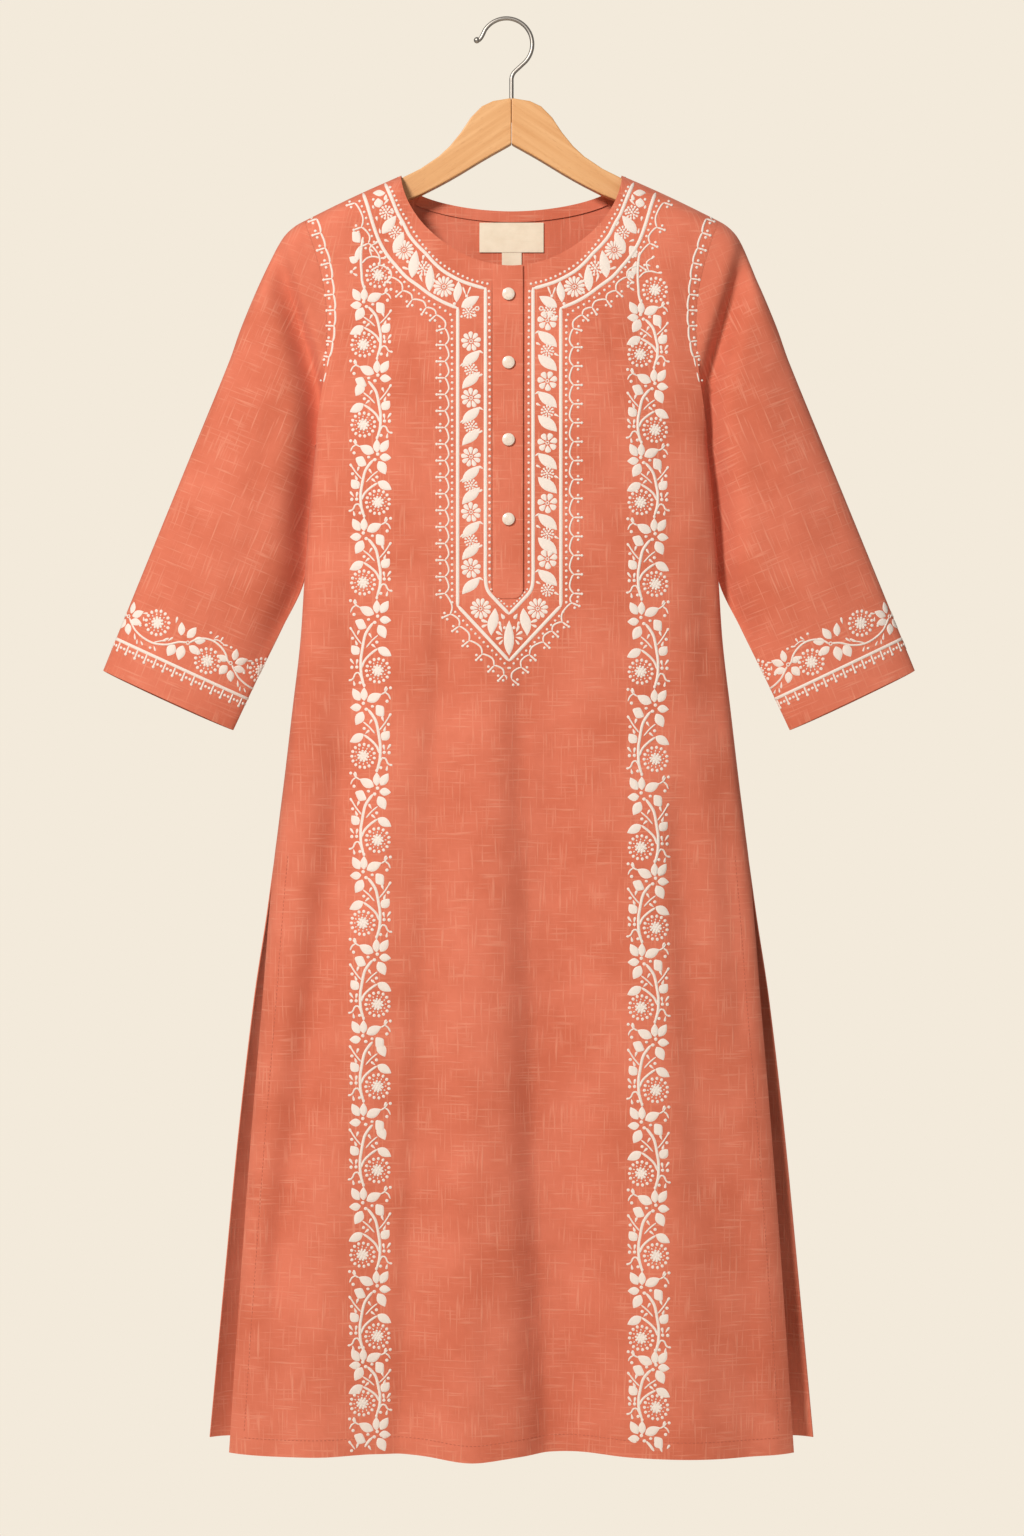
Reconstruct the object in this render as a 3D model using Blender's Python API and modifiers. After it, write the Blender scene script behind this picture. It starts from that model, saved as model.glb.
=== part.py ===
"""A kurta on a wooden hanger: the cut pieces of the garment, its buttons and the hanger in it.

Metres, +Z up, the front faces -Y. The origin is the seat in the hook, where a rod holds it up.
Tables and sizes below are in millimetres and are turned to metres where points are made.
"""
import math

import bmesh
import bpy
from mathutils import Vector

MM = 0.001

# Half the length of a cutter, and how far it stands above the shoulders
CUTTER_HALF = 120.0
CUTTER_ABOVE = 60.0

# Cloth and seams
CLOTH = 1.4
SEAM = 0.3
SIDE_SEAM_HALF = 0.42
STRIP_CLOTH = 1.4
LABEL_CLOTH = 0.9

# Neck and shoulders
NECK_HALF = 98.5
NECK_TOP = -139.5
FRONT_NECK_DEPTH = 84.6
BACK_NECK_DEPTH = 29.0
NECK_ROUNDNESS = 1.85
SHOULDER_HALF = 185.0
SHOULDER_SLOPE = 0.42
SHOULDER_CURVE = 0.00055
RIDGE_REACH = 22.0
RIDGE_ROUNDNESS = 2.2

# Body lengths
UNDERARM = -381.0
FRONT_HEM = -1282.0
BACK_HEM = -1275.0
SIDE_ROUNDNESS = 3.0

# Sections of the body from the shoulders down.
# level, front half width, back half width, front depth, back depth, openness of the side
BODY_COLUMNS = ("level", "front_half", "back_half", "front_depth", "back_depth", "openness")
BODY_SECTIONS = (
    (-90.0, 187.0, 187.0, 25.0, 20.0, 0.35),
    (-180.0, 185.0, 185.0, 26.0, 20.0, 0.35),
    (-206.0, 177.0, 177.0, 27.0, 19.0, 0.26),
    (-243.0, 167.5, 167.5, 28.5, 18.0, 0.15),
    (-280.0, 165.0, 165.0, 30.0, 17.0, 0.10),
    (-318.0, 167.5, 167.5, 32.0, 17.0, 0.08),
    (-345.0, 171.5, 171.5, 33.0, 17.5, 0.05),
    (-366.0, 174.5, 174.5, 34.0, 17.5, 0.016),
    (-381.0, 176.0, 176.0, 34.5, 18.0, 0.0),
    (-440.0, 181.5, 181.5, 36.5, 18.0, 0.0),
    (-500.0, 186.0, 186.0, 38.0, 18.5, 0.0),
    (-560.0, 190.0, 190.0, 39.5, 18.5, 0.0),
    (-620.0, 197.0, 197.0, 41.0, 19.0, 0.0),
    (-680.0, 204.0, 204.0, 42.0, 19.5, 0.0),
    (-732.0, 210.5, 210.5, 43.0, 20.0, 0.0),
    (-760.0, 213.5, 214.5, 43.5, 20.0, 0.004),
    (-811.0, 217.8, 221.5, 44.0, 20.5, 0.010),
    (-880.0, 223.0, 232.0, 45.0, 21.0, 0.016),
    (-1000.0, 232.8, 246.0, 46.5, 21.5, 0.022),
    (-1140.0, 243.0, 259.5, 48.5, 22.5, 0.027),
    (-1290.0, 253.0, 273.5, 50.0, 23.0, 0.03),
)

# Folds of a panel, one row each; a negative depth is a ridge.
# x at the top, z at the top, x at the end, z at the end, half width, depth at the top, depth at the end
FRONT_FOLDS = (
    (-30.0, -640.0, -36.0, -1290.0, 34.0, -2.0, -8.0),
    (48.0, -640.0, 60.0, -1290.0, 40.0, 2.0, 9.0),
    (-182.0, -560.0, -232.0, -1080.0, 20.0, -4.0, -3.0),
    (-140.0, -560.0, -196.0, -1100.0, 24.0, 8.0, 5.0),
    (-85.0, -600.0, -118.0, -1290.0, 24.0, 1.5, 5.0),
    (-168.0, -1060.0, -172.0, -1290.0, 26.0, -2.0, -5.0),
    (176.0, -540.0, 205.0, -870.0, 16.0, 6.0, 4.0),
    (120.0, -760.0, 158.0, -1290.0, 34.0, -1.0, -6.0),
    (196.0, -980.0, 214.0, -1290.0, 18.0, 3.0, 5.0),
    (-112.0, -250.0, -128.0, -420.0, 18.0, 2.5, 1.0),
    (118.0, -250.0, 134.0, -430.0, 18.0, 2.5, 1.0),
)
BACK_FOLDS = (
    (-12.0, -420.0, 16.0, -1280.0, 44.0, 2.0, 6.0),
    (-92.0, -620.0, -118.0, -1280.0, 34.0, -1.0, -5.0),
    (84.0, -560.0, 112.0, -1280.0, 36.0, -1.0, -5.5),
    (-176.0, -560.0, -206.0, -1180.0, 24.0, 5.0, 4.0),
    (168.0, -620.0, 202.0, -1240.0, 22.0, 4.5, 5.0),
    (-128.0, -230.0, -116.0, -420.0, 26.0, 3.0, 1.0),
    (124.0, -230.0, 118.0, -400.0, 26.0, 3.0, 1.0),
)
FOLD_FADE = 55.0

# Rise and fall of the hems: distance from the middle, drop below the hem level
FRONT_HEM_WAVE = (
    (-253.0, 2.0), (-215.0, 2.5), (-168.0, 1.5), (-123.0, -0.5), (-80.0, 0.5), (-35.0, 5.0),
    (10.0, 1.0), (60.0, -0.5), (105.0, 2.0), (150.0, 3.0), (200.0, 3.5), (253.0, 2.0),
)
BACK_HEM_WAVE = (
    (-273.0, 0.0), (-200.0, 1.5), (-110.0, -1.5), (0.0, 1.5), (100.0, -1.5), (200.0, 1.0), (273.0, 0.0),
)
HEM_WAVE_REACH = 170.0

# Rows of a panel down the armhole, as drops below the shoulder point; the sleeve's ring has the same
ARMHOLE_DROPS = (
    0.0, 0.8, 2.6, 6.0, 11.0, 18.0, 27.0, 40.0, 56.0, 74.0, 93.0, 112.0, 131.0, 149.0, 166.0, 181.0, 192.0,
)

# Sleeves: the two edges of the flat sleeve, as distance from the middle of the body and level
SLEEVE_OUTER = (
    (185.6, -180.0), (194.0, -184.5), (202.5, -191.7), (208.6, -200.0), (215.6, -213.0),
    (230.0, -244.0), (244.4, -279.0), (253.5, -305.0), (291.5, -398.0), (329.5, -491.0), (367.5, -584.6),
)
SLEEVE_INNER = (
    (176.6, -382.0), (179.6, -400.0), (184.8, -457.0), (188.2, -503.0), (207.0, -546.0),
    (228.6, -592.0), (250.4, -638.3),
)
# Sections of a sleeve by share of its length: front depth, back depth
SLEEVE_COLUMNS = ("share", "front_depth", "back_depth")
SLEEVE_SECTIONS = (
    (0.0, 22.0, 15.0), (0.25, 24.0, 15.0), (0.5, 23.0, 14.0), (0.8, 18.0, 12.5), (1.0, 15.0, 12.0),
)
SLEEVE_CLOTH = 1.3
SLEEVE_SEAM = 0.6
ARMHOLE_FADE = 0.4
CUFF_BACK_EXTRA = 2.0
# Fold of a sleeve beside the armhole: distance from the middle, level, share of the depth taken
SLEEVE_FOLD_COLUMNS = ("level", "reach", "share")
SLEEVE_FOLD = (
    (-195.0, 195.0, 0.0), (-233.0, 200.0, 0.45), (-260.0, 197.0, 0.68), (-300.0, 190.0, 0.74),
    (-359.0, 185.0, 0.6), (-431.0, 190.0, 0.45), (-503.0, 196.0, 0.35), (-545.0, 212.0, 0.2),
    (-600.0, 236.0, 0.0),
)
SLEEVE_FOLD_HALF = 13.0
SLEEVE_FOLD_START = 0.12
SLEEVE_ROWS = 14
# The right sleeve's outer edge hangs nearer by this much, reached at this share of its length
RIGHT_SLEEVE_NEARER = 4.5
RIGHT_SLEEVE_NEARER_FROM = 0.15

# Placket in the middle of the front: the slot in the panel, and the two strips in it
PLACKET_LEFT = -17.6
PLACKET_RIGHT = 13.4
PLACKET_END = -520.0
PLACKET_CORNER = 8.0
OVERLAP_RIGHT = 10.2
UNDERLAP_LEFT = -8.0
UNDERLAP_RIGHT = 21.0
UNDERLAP_BELOW = 8.0
UNDERLAP_CORNER = 1.5
STRIP_PROUD = 0.15

# Buttons
BUTTON_LEVELS = (-249.7, -311.0, -380.0, -450.9)
BUTTON_ACROSS = 11.3
BUTTON_THICK = 3.4
BUTTON_X = -2.7

# Facing and labels inside the back neck
FACING_WIDTH = 9.8
FACING_SHARE = 0.84
LINING_GAP = 0.5
LABEL_SIZE = (58.0, 27.0)
TAB_SIZE = (17.8, 12.6)
TAB_SHIFT = 0.2

# Hanger arms: reach from the middle, top edge, bottom edge, down to where the cloth hides them
ARM_COLUMNS = ("reach", "top", "bottom")
ARM_OUTLINE = (
    (0.15, -70.2, -111.2), (16.6, -72.9, -120.4), (26.6, -77.6, -126.2), (36.5, -87.6, -132.2),
    (45.5, -101.2, -137.7), (55.4, -113.4, -143.4), (65.3, -122.6, -148.8), (81.9, -133.8, -157.2),
    (98.5, -142.0, -164.0),
)
ARM_UNDER_CLOTH = CLOTH + 1.1
ARM_END_DEPTH = 17.0
ARM_END_REACH = 180.0
ARM_END_FALL = 2.4
ARM_THICK = 12.0
ARM_ROUNDING = 3.5

# Hook wire: a round loop with a flared tip, then a straight run to a bend over the stem
WIRE = 3.8
HOOK_RADIUS = 23.2
HOOK_CENTRE_X = -4.5
HOOK_TIP_ANGLE = 147.0
HOOK_FOOT_ANGLE = -47.0
HOOK_FLARE = ((-7.2, -9.1), (-5.9, -9.1), (-4.8, -8.6), (-3.4, -6.9), (-1.6, -3.5))
HOOK_BEND_LEVEL = -48.2
HOOK_BEND_REACH = 5.0
HOOK_BALL = 5.6
HOOK_IN_WOOD = 22.0


def smooth_value(pairs, at):
    """Value of a smooth curve through (position, value) pairs; positions may rise or fall."""
    points = sorted(pairs)
    if at <= points[0][0]:
        return points[0][1]
    if at >= points[-1][0]:
        return points[-1][1]
    place = max(i for i, point in enumerate(points) if point[0] <= at)
    place = min(place, len(points) - 2)

    def slope(i):
        before = points[max(i - 1, 0)]
        after = points[min(i + 1, len(points) - 1)]
        return (after[1] - before[1]) / (after[0] - before[0])

    (x0, y0), (x1, y1) = points[place], points[place + 1]
    span = x1 - x0
    t = (at - x0) / span
    return (
        (2 * t ** 3 - 3 * t ** 2 + 1) * y0
        + (t ** 3 - 2 * t ** 2 + t) * span * slope(place)
        + (3 * t ** 2 - 2 * t ** 3) * y1
        + (t ** 3 - t ** 2) * span * slope(place + 1)
    )


def column(table, names, name):
    """Pairs of a table's first column and a named one."""
    index = names.index(name)
    return [(row[0], row[index]) for row in table]


BODY = {name: column(BODY_SECTIONS, BODY_COLUMNS, name) for name in BODY_COLUMNS[1:]}
SLEEVE = {name: column(SLEEVE_SECTIONS, SLEEVE_COLUMNS, name) for name in SLEEVE_COLUMNS[1:]}
SLEEVE_VALLEY = {name: column(SLEEVE_FOLD, SLEEVE_FOLD_COLUMNS, name) for name in SLEEVE_FOLD_COLUMNS[1:]}


def rounded(share, roundness):
    """1 in the middle, falling round to 0 where share is 1."""
    return max(0.0, 1.0 - min(abs(share), 1.0) ** roundness) ** (1.0 / roundness)


def shoulder_height(x):
    """Level of the shoulder seam, carried on past the neck to the middle."""
    out = abs(x) - NECK_HALF
    return NECK_TOP - SHOULDER_SLOPE * out - SHOULDER_CURVE * max(out, 0.0) ** 2


def neck_level(x, depth):
    """Level of the neckline at x."""
    return NECK_TOP - depth * rounded(x / NECK_HALF, NECK_ROUNDNESS)


def fold_depth(folds, x, z):
    """How far the folds push the cloth in at a place."""
    total = 0.0
    for x_top, z_top, x_end, z_end, half, depth_top, depth_end in folds:
        share = (z_top - z) / (z_top - z_end)
        inside = min(max(share, 0.0), 1.0)
        past = abs(share - inside) * (z_top - z_end)
        middle = x_top + (x_end - x_top) * inside
        depth = depth_top + (depth_end - depth_top) * inside
        total += depth * math.exp(-(past / FOLD_FADE) ** 2 - ((x - middle) / half) ** 2)
    return total


def panel_shape(x, z, half):
    """Share of the full depth: round over the hanger, round at the sides, open at the slits."""
    openness = max(smooth_value(BODY["openness"], z), 0.0)
    side = rounded(x / (half * (1.0 + openness)), SIDE_ROUNDNESS)
    down = min(max(shoulder_height(x) - z, 0.0) / RIDGE_REACH, 1.0)
    return side * rounded(1.0 - down, RIDGE_ROUNDNESS)


def front_y(x, z):
    shape = panel_shape(x, z, smooth_value(BODY["front_half"], z))
    depth = smooth_value(BODY["front_depth"], z)
    return -SIDE_SEAM_HALF - shape * (depth - fold_depth(FRONT_FOLDS, x, z))


def back_y(x, z):
    shape = panel_shape(x, z, smooth_value(BODY["back_half"], z))
    depth = smooth_value(BODY["back_depth"], z)
    return SIDE_SEAM_HALF + shape * (depth - fold_depth(BACK_FOLDS, x, z))


def armhole_levels():
    """Levels of the rows from the shoulder point to the underarm."""
    top = shoulder_height(SHOULDER_HALF)
    return [top - drop for drop in ARMHOLE_DROPS] + [UNDERARM]


def panel_levels(hem, spacing):
    """Levels of a panel's rows at its side edge: those of the armhole, then even ones to the hem."""
    count = round((UNDERARM - hem) / spacing)
    step = (UNDERARM - hem) / count
    return armhole_levels() + [UNDERARM - step * (i + 1) for i in range(count)]


def panel_place(across, side_level, hem, half_pairs, wave):
    """x and z of a panel's point, from its place across a row and the row's level at the side."""
    top = shoulder_height(SHOULDER_HALF)
    half = smooth_value(half_pairs, side_level)
    x = math.sin(across * math.pi / 2) * half
    slope = min(max((side_level - UNDERARM) / (top - UNDERARM), 0.0), 1.0) ** 1.4
    rise = (shoulder_height(x) - shoulder_height(half)) * slope
    low = min(max((hem + HEM_WAVE_REACH - side_level) / HEM_WAVE_REACH, 0.0), 1.0)
    drop = smooth_value(wave, x) * low * low
    return x, side_level + rise - drop


def new_object(name, mesh, collection):
    item = bpy.data.objects.new(name, mesh)
    collection.objects.link(item)
    return item


def mesh_from_grid(name, columns, rows, point, outward, closed=False):
    """A grid whose points are moved to point(across, along); across and along run from -1 to 1."""
    bm = bmesh.new()
    bmesh.ops.create_grid(bm, x_segments=columns, y_segments=rows, size=1.0)
    for vert in bm.verts:
        vert.co = Vector(point(vert.co.x, vert.co.y)) * MM
    if closed:
        bmesh.ops.remove_doubles(bm, verts=bm.verts, dist=1e-6)
    bm.normal_update()
    facing = sum(face.normal.dot(outward(face.calc_center_median())) for face in bm.faces)
    if facing < 0.0:
        bmesh.ops.reverse_faces(bm, faces=bm.faces)
    mesh = bpy.data.meshes.new(name)
    bm.to_mesh(mesh)
    bm.free()
    mesh.shade_smooth()
    return mesh


def thicken(item, thickness):
    """Gives a sheet its cloth thickness, inwards from its outer face."""
    wall = item.modifiers.new("cloth", "SOLIDIFY")
    wall.thickness = thickness * MM
    wall.offset = -1.0
    wall.use_even_offset = True


def flat_cutter(name, outline, collection):
    """A flat outline in x and z, extruded through the body along y."""
    curve = bpy.data.curves.new(name, "CURVE")
    curve.dimensions = "2D"
    curve.fill_mode = "BOTH"
    curve.extrude = CUTTER_HALF * MM
    spline = curve.splines.new("POLY")
    spline.points.add(len(outline) - 1)
    for point, (x, z) in zip(spline.points, outline):
        point.co = (x * MM, z * MM, 0.0, 1.0)
    spline.use_cyclic_u = True
    return curve_to_mesh(name, curve, collection, math.pi / 2)


def curve_to_mesh(name, curve, collection, turn_x=0.0):
    """The curve as a closed mesh object, turned about x."""
    source = bpy.data.objects.new(name + "_curve", curve)
    collection.objects.link(source)
    source.rotation_euler = (turn_x, 0.0, 0.0)
    bpy.context.view_layer.update()
    evaluated = source.evaluated_get(bpy.context.evaluated_depsgraph_get())
    mesh = bpy.data.meshes.new_from_object(evaluated)
    mesh.name = name
    bm = bmesh.new()
    bm.from_mesh(mesh)
    bmesh.ops.remove_doubles(bm, verts=bm.verts, dist=1e-6)
    bmesh.ops.recalc_face_normals(bm, faces=bm.faces)
    bm.to_mesh(mesh)
    bm.free()
    item = new_object(name, mesh, collection)
    item.matrix_world = source.matrix_world.copy()
    bpy.data.objects.remove(source, do_unlink=True)
    return item


def cut(item, cutter):
    cutter.hide_render = True
    cutter.display_type = "WIRE"
    boolean = item.modifiers.new("cut_" + cutter.name, "BOOLEAN")
    boolean.operation = "DIFFERENCE"
    boolean.object = cutter


def material(name, colour, roughness, metallic=0.0):
    made = bpy.data.materials.new(name)
    made.use_nodes = True
    shader = made.node_tree.nodes["Principled BSDF"]
    shader.inputs["Base Color"].default_value = (*colour, 1.0)
    shader.inputs["Roughness"].default_value = roughness
    shader.inputs["Metallic"].default_value = metallic
    return made


def neck_outline(depth):
    """The neck opening, from its lower curve up past the top of the shoulders."""
    steps = 28
    outline = []
    for i in range(steps + 1):
        turn = math.pi * i / steps
        x = -NECK_HALF * math.cos(turn)
        outline.append((x, neck_level(x, depth)))
    return outline + [(NECK_HALF, NECK_TOP + CUTTER_ABOVE), (-NECK_HALF, NECK_TOP + CUTTER_ABOVE)]


def slot_inset(height, corner):
    """How far a rounded lower corner draws the edge in, at a height above the end."""
    low = max(corner - height, 0.0)
    return corner - math.sqrt(max(corner ** 2 - low ** 2, 0.0))


def placket_slot_outline():
    steps = 5
    bottom = []
    for i in range(steps + 1):
        height = PLACKET_CORNER * (1.0 - math.cos(math.pi / 2 * i / steps))
        bottom.append((slot_inset(height, PLACKET_CORNER), PLACKET_END + height))
    left = [(PLACKET_LEFT + inset, z) for inset, z in reversed(bottom)]
    right = [(PLACKET_RIGHT - inset, z) for inset, z in bottom]
    return [(PLACKET_LEFT, NECK_TOP)] + left + right + [(PLACKET_RIGHT, NECK_TOP)]


def make_panel(name, collection, cloth, sizes):
    levels = panel_levels(sizes["hem"], sizes["spacing"])
    rows = len(levels) - 1

    def point(across, along):
        level = levels[round((1.0 - along) / 2.0 * rows)]
        x, z = panel_place(across, level, sizes["hem"], sizes["half"], sizes["wave"])
        return x, sizes["depth"](x, z), z

    mesh = mesh_from_grid(name, sizes["columns"], rows, point, lambda centre: sizes["facing"])
    item = new_object(name, mesh, collection)
    thicken(item, CLOTH)
    item.data.materials.append(cloth)
    return item


def make_front(collection, cutters, cloth):
    sizes = {
        "hem": FRONT_HEM, "spacing": 36.0, "columns": 32, "half": BODY["front_half"],
        "wave": FRONT_HEM_WAVE, "depth": front_y, "facing": Vector((0.0, -1.0, 0.0)),
    }
    item = make_panel("front_panel", collection, cloth, sizes)
    cut(item, flat_cutter("front_neck_cut", neck_outline(FRONT_NECK_DEPTH), cutters))
    cut(item, flat_cutter("placket_cut", placket_slot_outline(), cutters))


def make_back(collection, cutters, cloth):
    sizes = {
        "hem": BACK_HEM, "spacing": 56.0, "columns": 24, "half": BODY["back_half"],
        "wave": BACK_HEM_WAVE, "depth": back_y, "facing": Vector((0.0, 1.0, 0.0)),
    }
    item = make_panel("back_panel", collection, cloth, sizes)
    cut(item, flat_cutter("back_neck_cut", neck_outline(BACK_NECK_DEPTH), cutters))


def along_edge(edge, share):
    """Point of an edge at a share of its length."""
    lengths = [0.0]
    for (x0, z0), (x1, z1) in zip(edge, edge[1:]):
        lengths.append(lengths[-1] + math.hypot(x1 - x0, z1 - z0))
    at = share * lengths[-1]
    x = smooth_value([(run, place[0]) for run, place in zip(lengths, edge)], at)
    z = smooth_value([(run, place[1]) for run, place in zip(lengths, edge)], at)
    return x, z


def sleeve_profile(share_down):
    """Depth of the flat sleeve from its outer edge to its inner edge, gentler at the inner one."""
    hump = max(1.0 - (1.0 - 2.0 * share_down) ** 2, 0.0)
    return hump ** (0.45 if share_down < 0.5 else 0.7)


def armhole_point(share_down, back):
    """The seam line on the body, from the shoulder to the underarm."""
    top = shoulder_height(SHOULDER_HALF)
    level = top + (UNDERARM - top) * share_down
    reach = smooth_value(BODY["front_half"], level)
    depth = back_y(reach, level) if back else front_y(reach, level)
    lift = depth if 0.0 < share_down < 1.0 else 0.0
    return reach + SLEEVE_SEAM, lift, level


def plain_sleeve_point(share, share_down, back, nearer):
    """The sleeve as a flattened tube between its two edges, the outer one drawn in by nearer."""
    outer = along_edge(SLEEVE_OUTER, share)
    inner = along_edge(SLEEVE_INNER, share)
    outer_reach = outer[0] - nearer * min(share / RIGHT_SLEEVE_NEARER_FROM, 1.0)
    reach = outer_reach + (inner[0] - outer_reach) * share_down
    level = outer[1] + (inner[1] - outer[1]) * share_down
    valley = smooth_value(SLEEVE_VALLEY["share"], level)
    middle = smooth_value(SLEEVE_VALLEY["reach"], level)
    valley *= math.exp(-((reach - middle) / SLEEVE_FOLD_HALF) ** 2) * min(share / SLEEVE_FOLD_START, 1.0)
    if back:
        depth = smooth_value(SLEEVE["back_depth"], share) * (1.0 - 0.6 * valley)
    else:
        depth = -smooth_value(SLEEVE["front_depth"], share) * (1.0 - valley)
    return reach, depth * sleeve_profile(share_down), level


def sleeve_point(share, share_down, back, nearer):
    """Point of the sleeve: share of its length, and share of its width from the outer edge."""
    plain = plain_sleeve_point(share, share_down, back, nearer)
    start = plain_sleeve_point(0.0, share_down, back, nearer)
    seam = armhole_point(share_down, back)
    near = max(1.0 - share / ARMHOLE_FADE, 0.0) ** 2
    reach, depth, level = (p + (s - b) * near for p, s, b in zip(plain, seam, start))
    if back and share == 1.0:
        level -= CUFF_BACK_EXTRA * sleeve_profile(share_down)
    return reach, depth, level


def make_sleeve(name, side, collection, cloth):
    levels = armhole_levels()
    shares = [(levels[0] - level) / (levels[0] - levels[-1]) for level in levels]
    last = len(shares) - 1
    nearer = RIGHT_SLEEVE_NEARER if side > 0.0 else 0.0

    def point(turn, along):
        step = round((turn + 1.0) * last) - last
        share = ((1.0 - along) / 2.0) ** 1.25
        reach, depth, level = sleeve_point(share, shares[abs(step)], step > 0, nearer)
        return side * reach, depth, level

    def outward(centre):
        return Vector((0.0, centre.y, 0.0))

    mesh = mesh_from_grid(name, 2 * last, SLEEVE_ROWS, point, outward, closed=True)
    item = new_object(name, mesh, collection)
    thicken(item, SLEEVE_CLOTH)
    item.data.materials.append(cloth)


def make_strip(name, left, right, end, corner, out, thickness, collection, cloth):
    """A placket strip on the front's own points, moved out, with rounded lower corners."""
    rows = 16

    def point(across, along):
        share = (1.0 - along) / 2.0
        middle, half = (left + right) / 2.0, (right - left) / 2.0
        top = NECK_TOP - FRONT_NECK_DEPTH
        z = top + (end - top) * share ** 0.9
        inset = slot_inset(z - end, corner)
        x = middle + across * (half - inset)
        z += (neck_level(x, FRONT_NECK_DEPTH) - top) * (1.0 - share)
        return x, front_y(x, z) - out, z

    mesh = mesh_from_grid(name, 4, rows, point, lambda centre: Vector((0.0, -1.0, 0.0)))
    item = new_object(name, mesh, collection)
    thicken(item, thickness)
    item.data.materials.append(cloth)


def make_placket(collection, cloth):
    under_out = -CLOTH - LINING_GAP
    make_strip(
        "placket_overlap", PLACKET_LEFT + SEAM, OVERLAP_RIGHT, PLACKET_END + SEAM, PLACKET_CORNER,
        STRIP_PROUD, STRIP_CLOTH, collection, cloth,
    )
    make_strip(
        "placket_underlap", UNDERLAP_LEFT, UNDERLAP_RIGHT, PLACKET_END - UNDERLAP_BELOW, UNDERLAP_CORNER,
        under_out, STRIP_CLOTH, collection, cloth,
    )


def make_buttons(collection, pearl):
    """Low round buttons, turned from one profile, on the overlap strip."""
    half = BUTTON_ACROSS / 2.0
    for number, level in enumerate(BUTTON_LEVELS, 1):
        name = "button_%d" % number
        bm = bmesh.new()
        bmesh.ops.create_uvsphere(bm, u_segments=16, v_segments=8, radius=1.0)
        for vert in bm.verts:
            flat = math.copysign(abs(vert.co.z) ** 0.8, vert.co.z)
            vert.co = Vector((vert.co.x * half, -flat * BUTTON_THICK / 2.0, vert.co.y * half)) * MM
        mesh = bpy.data.meshes.new(name)
        bm.to_mesh(mesh)
        bm.free()
        mesh.shade_smooth()
        item = new_object(name, mesh, collection)
        nearest = min(front_y(BUTTON_X + dx, level + dz) for dx in (-3.0, 3.0) for dz in (-3.0, 3.0))
        out = nearest - STRIP_PROUD - SEAM - BUTTON_THICK / 2.0
        item.location = Vector((BUTTON_X, out, level)) * MM
        item.data.materials.append(pearl)


def make_facing(collection, cloth):
    """A narrow curved strip on the inner face of the back, just under its neckline."""
    def point(across, along):
        share = (1.0 - along) / 2.0
        x = across * FACING_SHARE * NECK_HALF
        z = neck_level(x, BACK_NECK_DEPTH)
        ahead = neck_level(x + 0.5, BACK_NECK_DEPTH) - neck_level(x - 0.5, BACK_NECK_DEPTH)
        length = math.hypot(1.0, ahead)
        x += share * FACING_WIDTH * ahead / length
        z -= share * FACING_WIDTH / length
        return x, back_y(x, z) - CLOTH - LINING_GAP, z

    mesh = mesh_from_grid("back_neck_facing", 18, 3, point, lambda centre: Vector((0.0, 1.0, 0.0)))
    item = new_object("back_neck_facing", mesh, collection)
    thicken(item, LABEL_CLOTH)
    item.data.materials.append(cloth)


def make_patch(name, middle, top, size, collection, cloth):
    """A small rectangle on the inner face of the back."""
    width, height = size

    def point(across, along):
        x = middle + across * width / 2.0
        z = top - (1.0 - along) / 2.0 * height
        return x, back_y(x, z) - CLOTH - LINING_GAP, z

    mesh = mesh_from_grid(name, 6, 3, point, lambda centre: Vector((0.0, 1.0, 0.0)))
    item = new_object(name, mesh, collection)
    thicken(item, LABEL_CLOTH)
    item.data.materials.append(cloth)


def make_labels(collection, tape):
    top = NECK_TOP - BACK_NECK_DEPTH - FACING_WIDTH - LINING_GAP
    make_patch("label_patch", 0.0, top, LABEL_SIZE, collection, tape)
    make_patch("size_tab", TAB_SHIFT, top - LABEL_SIZE[1] - SEAM, TAB_SIZE, collection, tape)


def arm_outline(side):
    """The arm seen from the front: bare part, part under the shoulder, round end."""
    top = [(reach, upper) for reach, upper, lower in ARM_OUTLINE]
    bottom = [(reach, lower) for reach, upper, lower in ARM_OUTLINE]
    first_depth = ARM_OUTLINE[-1][1] - ARM_OUTLINE[-1][2]
    steps = 5
    for i in range(1, steps + 1):
        share = i / steps
        reach = NECK_HALF + (ARM_END_REACH - NECK_HALF) * share
        upper = shoulder_height(reach) - ARM_UNDER_CLOTH - ARM_END_FALL * share ** 3
        top.append((reach, upper))
        bottom.append((reach, upper - first_depth - (ARM_END_DEPTH - first_depth) * share))
    radius = ARM_END_DEPTH / 2.0
    middle = top[-1][1] - radius
    tip = []
    for i in range(1, 6):
        turn = math.pi / 2 - math.pi * i / 6
        tip.append((ARM_END_REACH + radius * math.cos(turn), middle + radius * math.sin(turn)))
    outline = top + tip + bottom[::-1]
    return [(side * reach, level) for reach, level in outline]


def make_arm(name, side, collection, cutters, wood):
    curve = bpy.data.curves.new(name, "CURVE")
    curve.dimensions = "2D"
    curve.fill_mode = "BOTH"
    curve.extrude = ARM_THICK / 2.0 * MM
    outline = arm_outline(side)
    spline = curve.splines.new("POLY")
    spline.points.add(len(outline) - 1)
    for point, (x, z) in zip(spline.points, outline):
        point.co = (x * MM, z * MM, 0.0, 1.0)
    spline.use_cyclic_u = True
    item = curve_to_mesh(name, curve, collection, math.pi / 2)
    edge = item.modifiers.new("rounding", "BEVEL")
    edge.width = ARM_ROUNDING * MM
    edge.segments = 2
    edge.limit_method = "ANGLE"
    edge.angle_limit = math.radians(60.0)
    cut(item, stem_hole(name + "_stem_hole", cutters))
    item.data.materials.append(wood)


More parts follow.
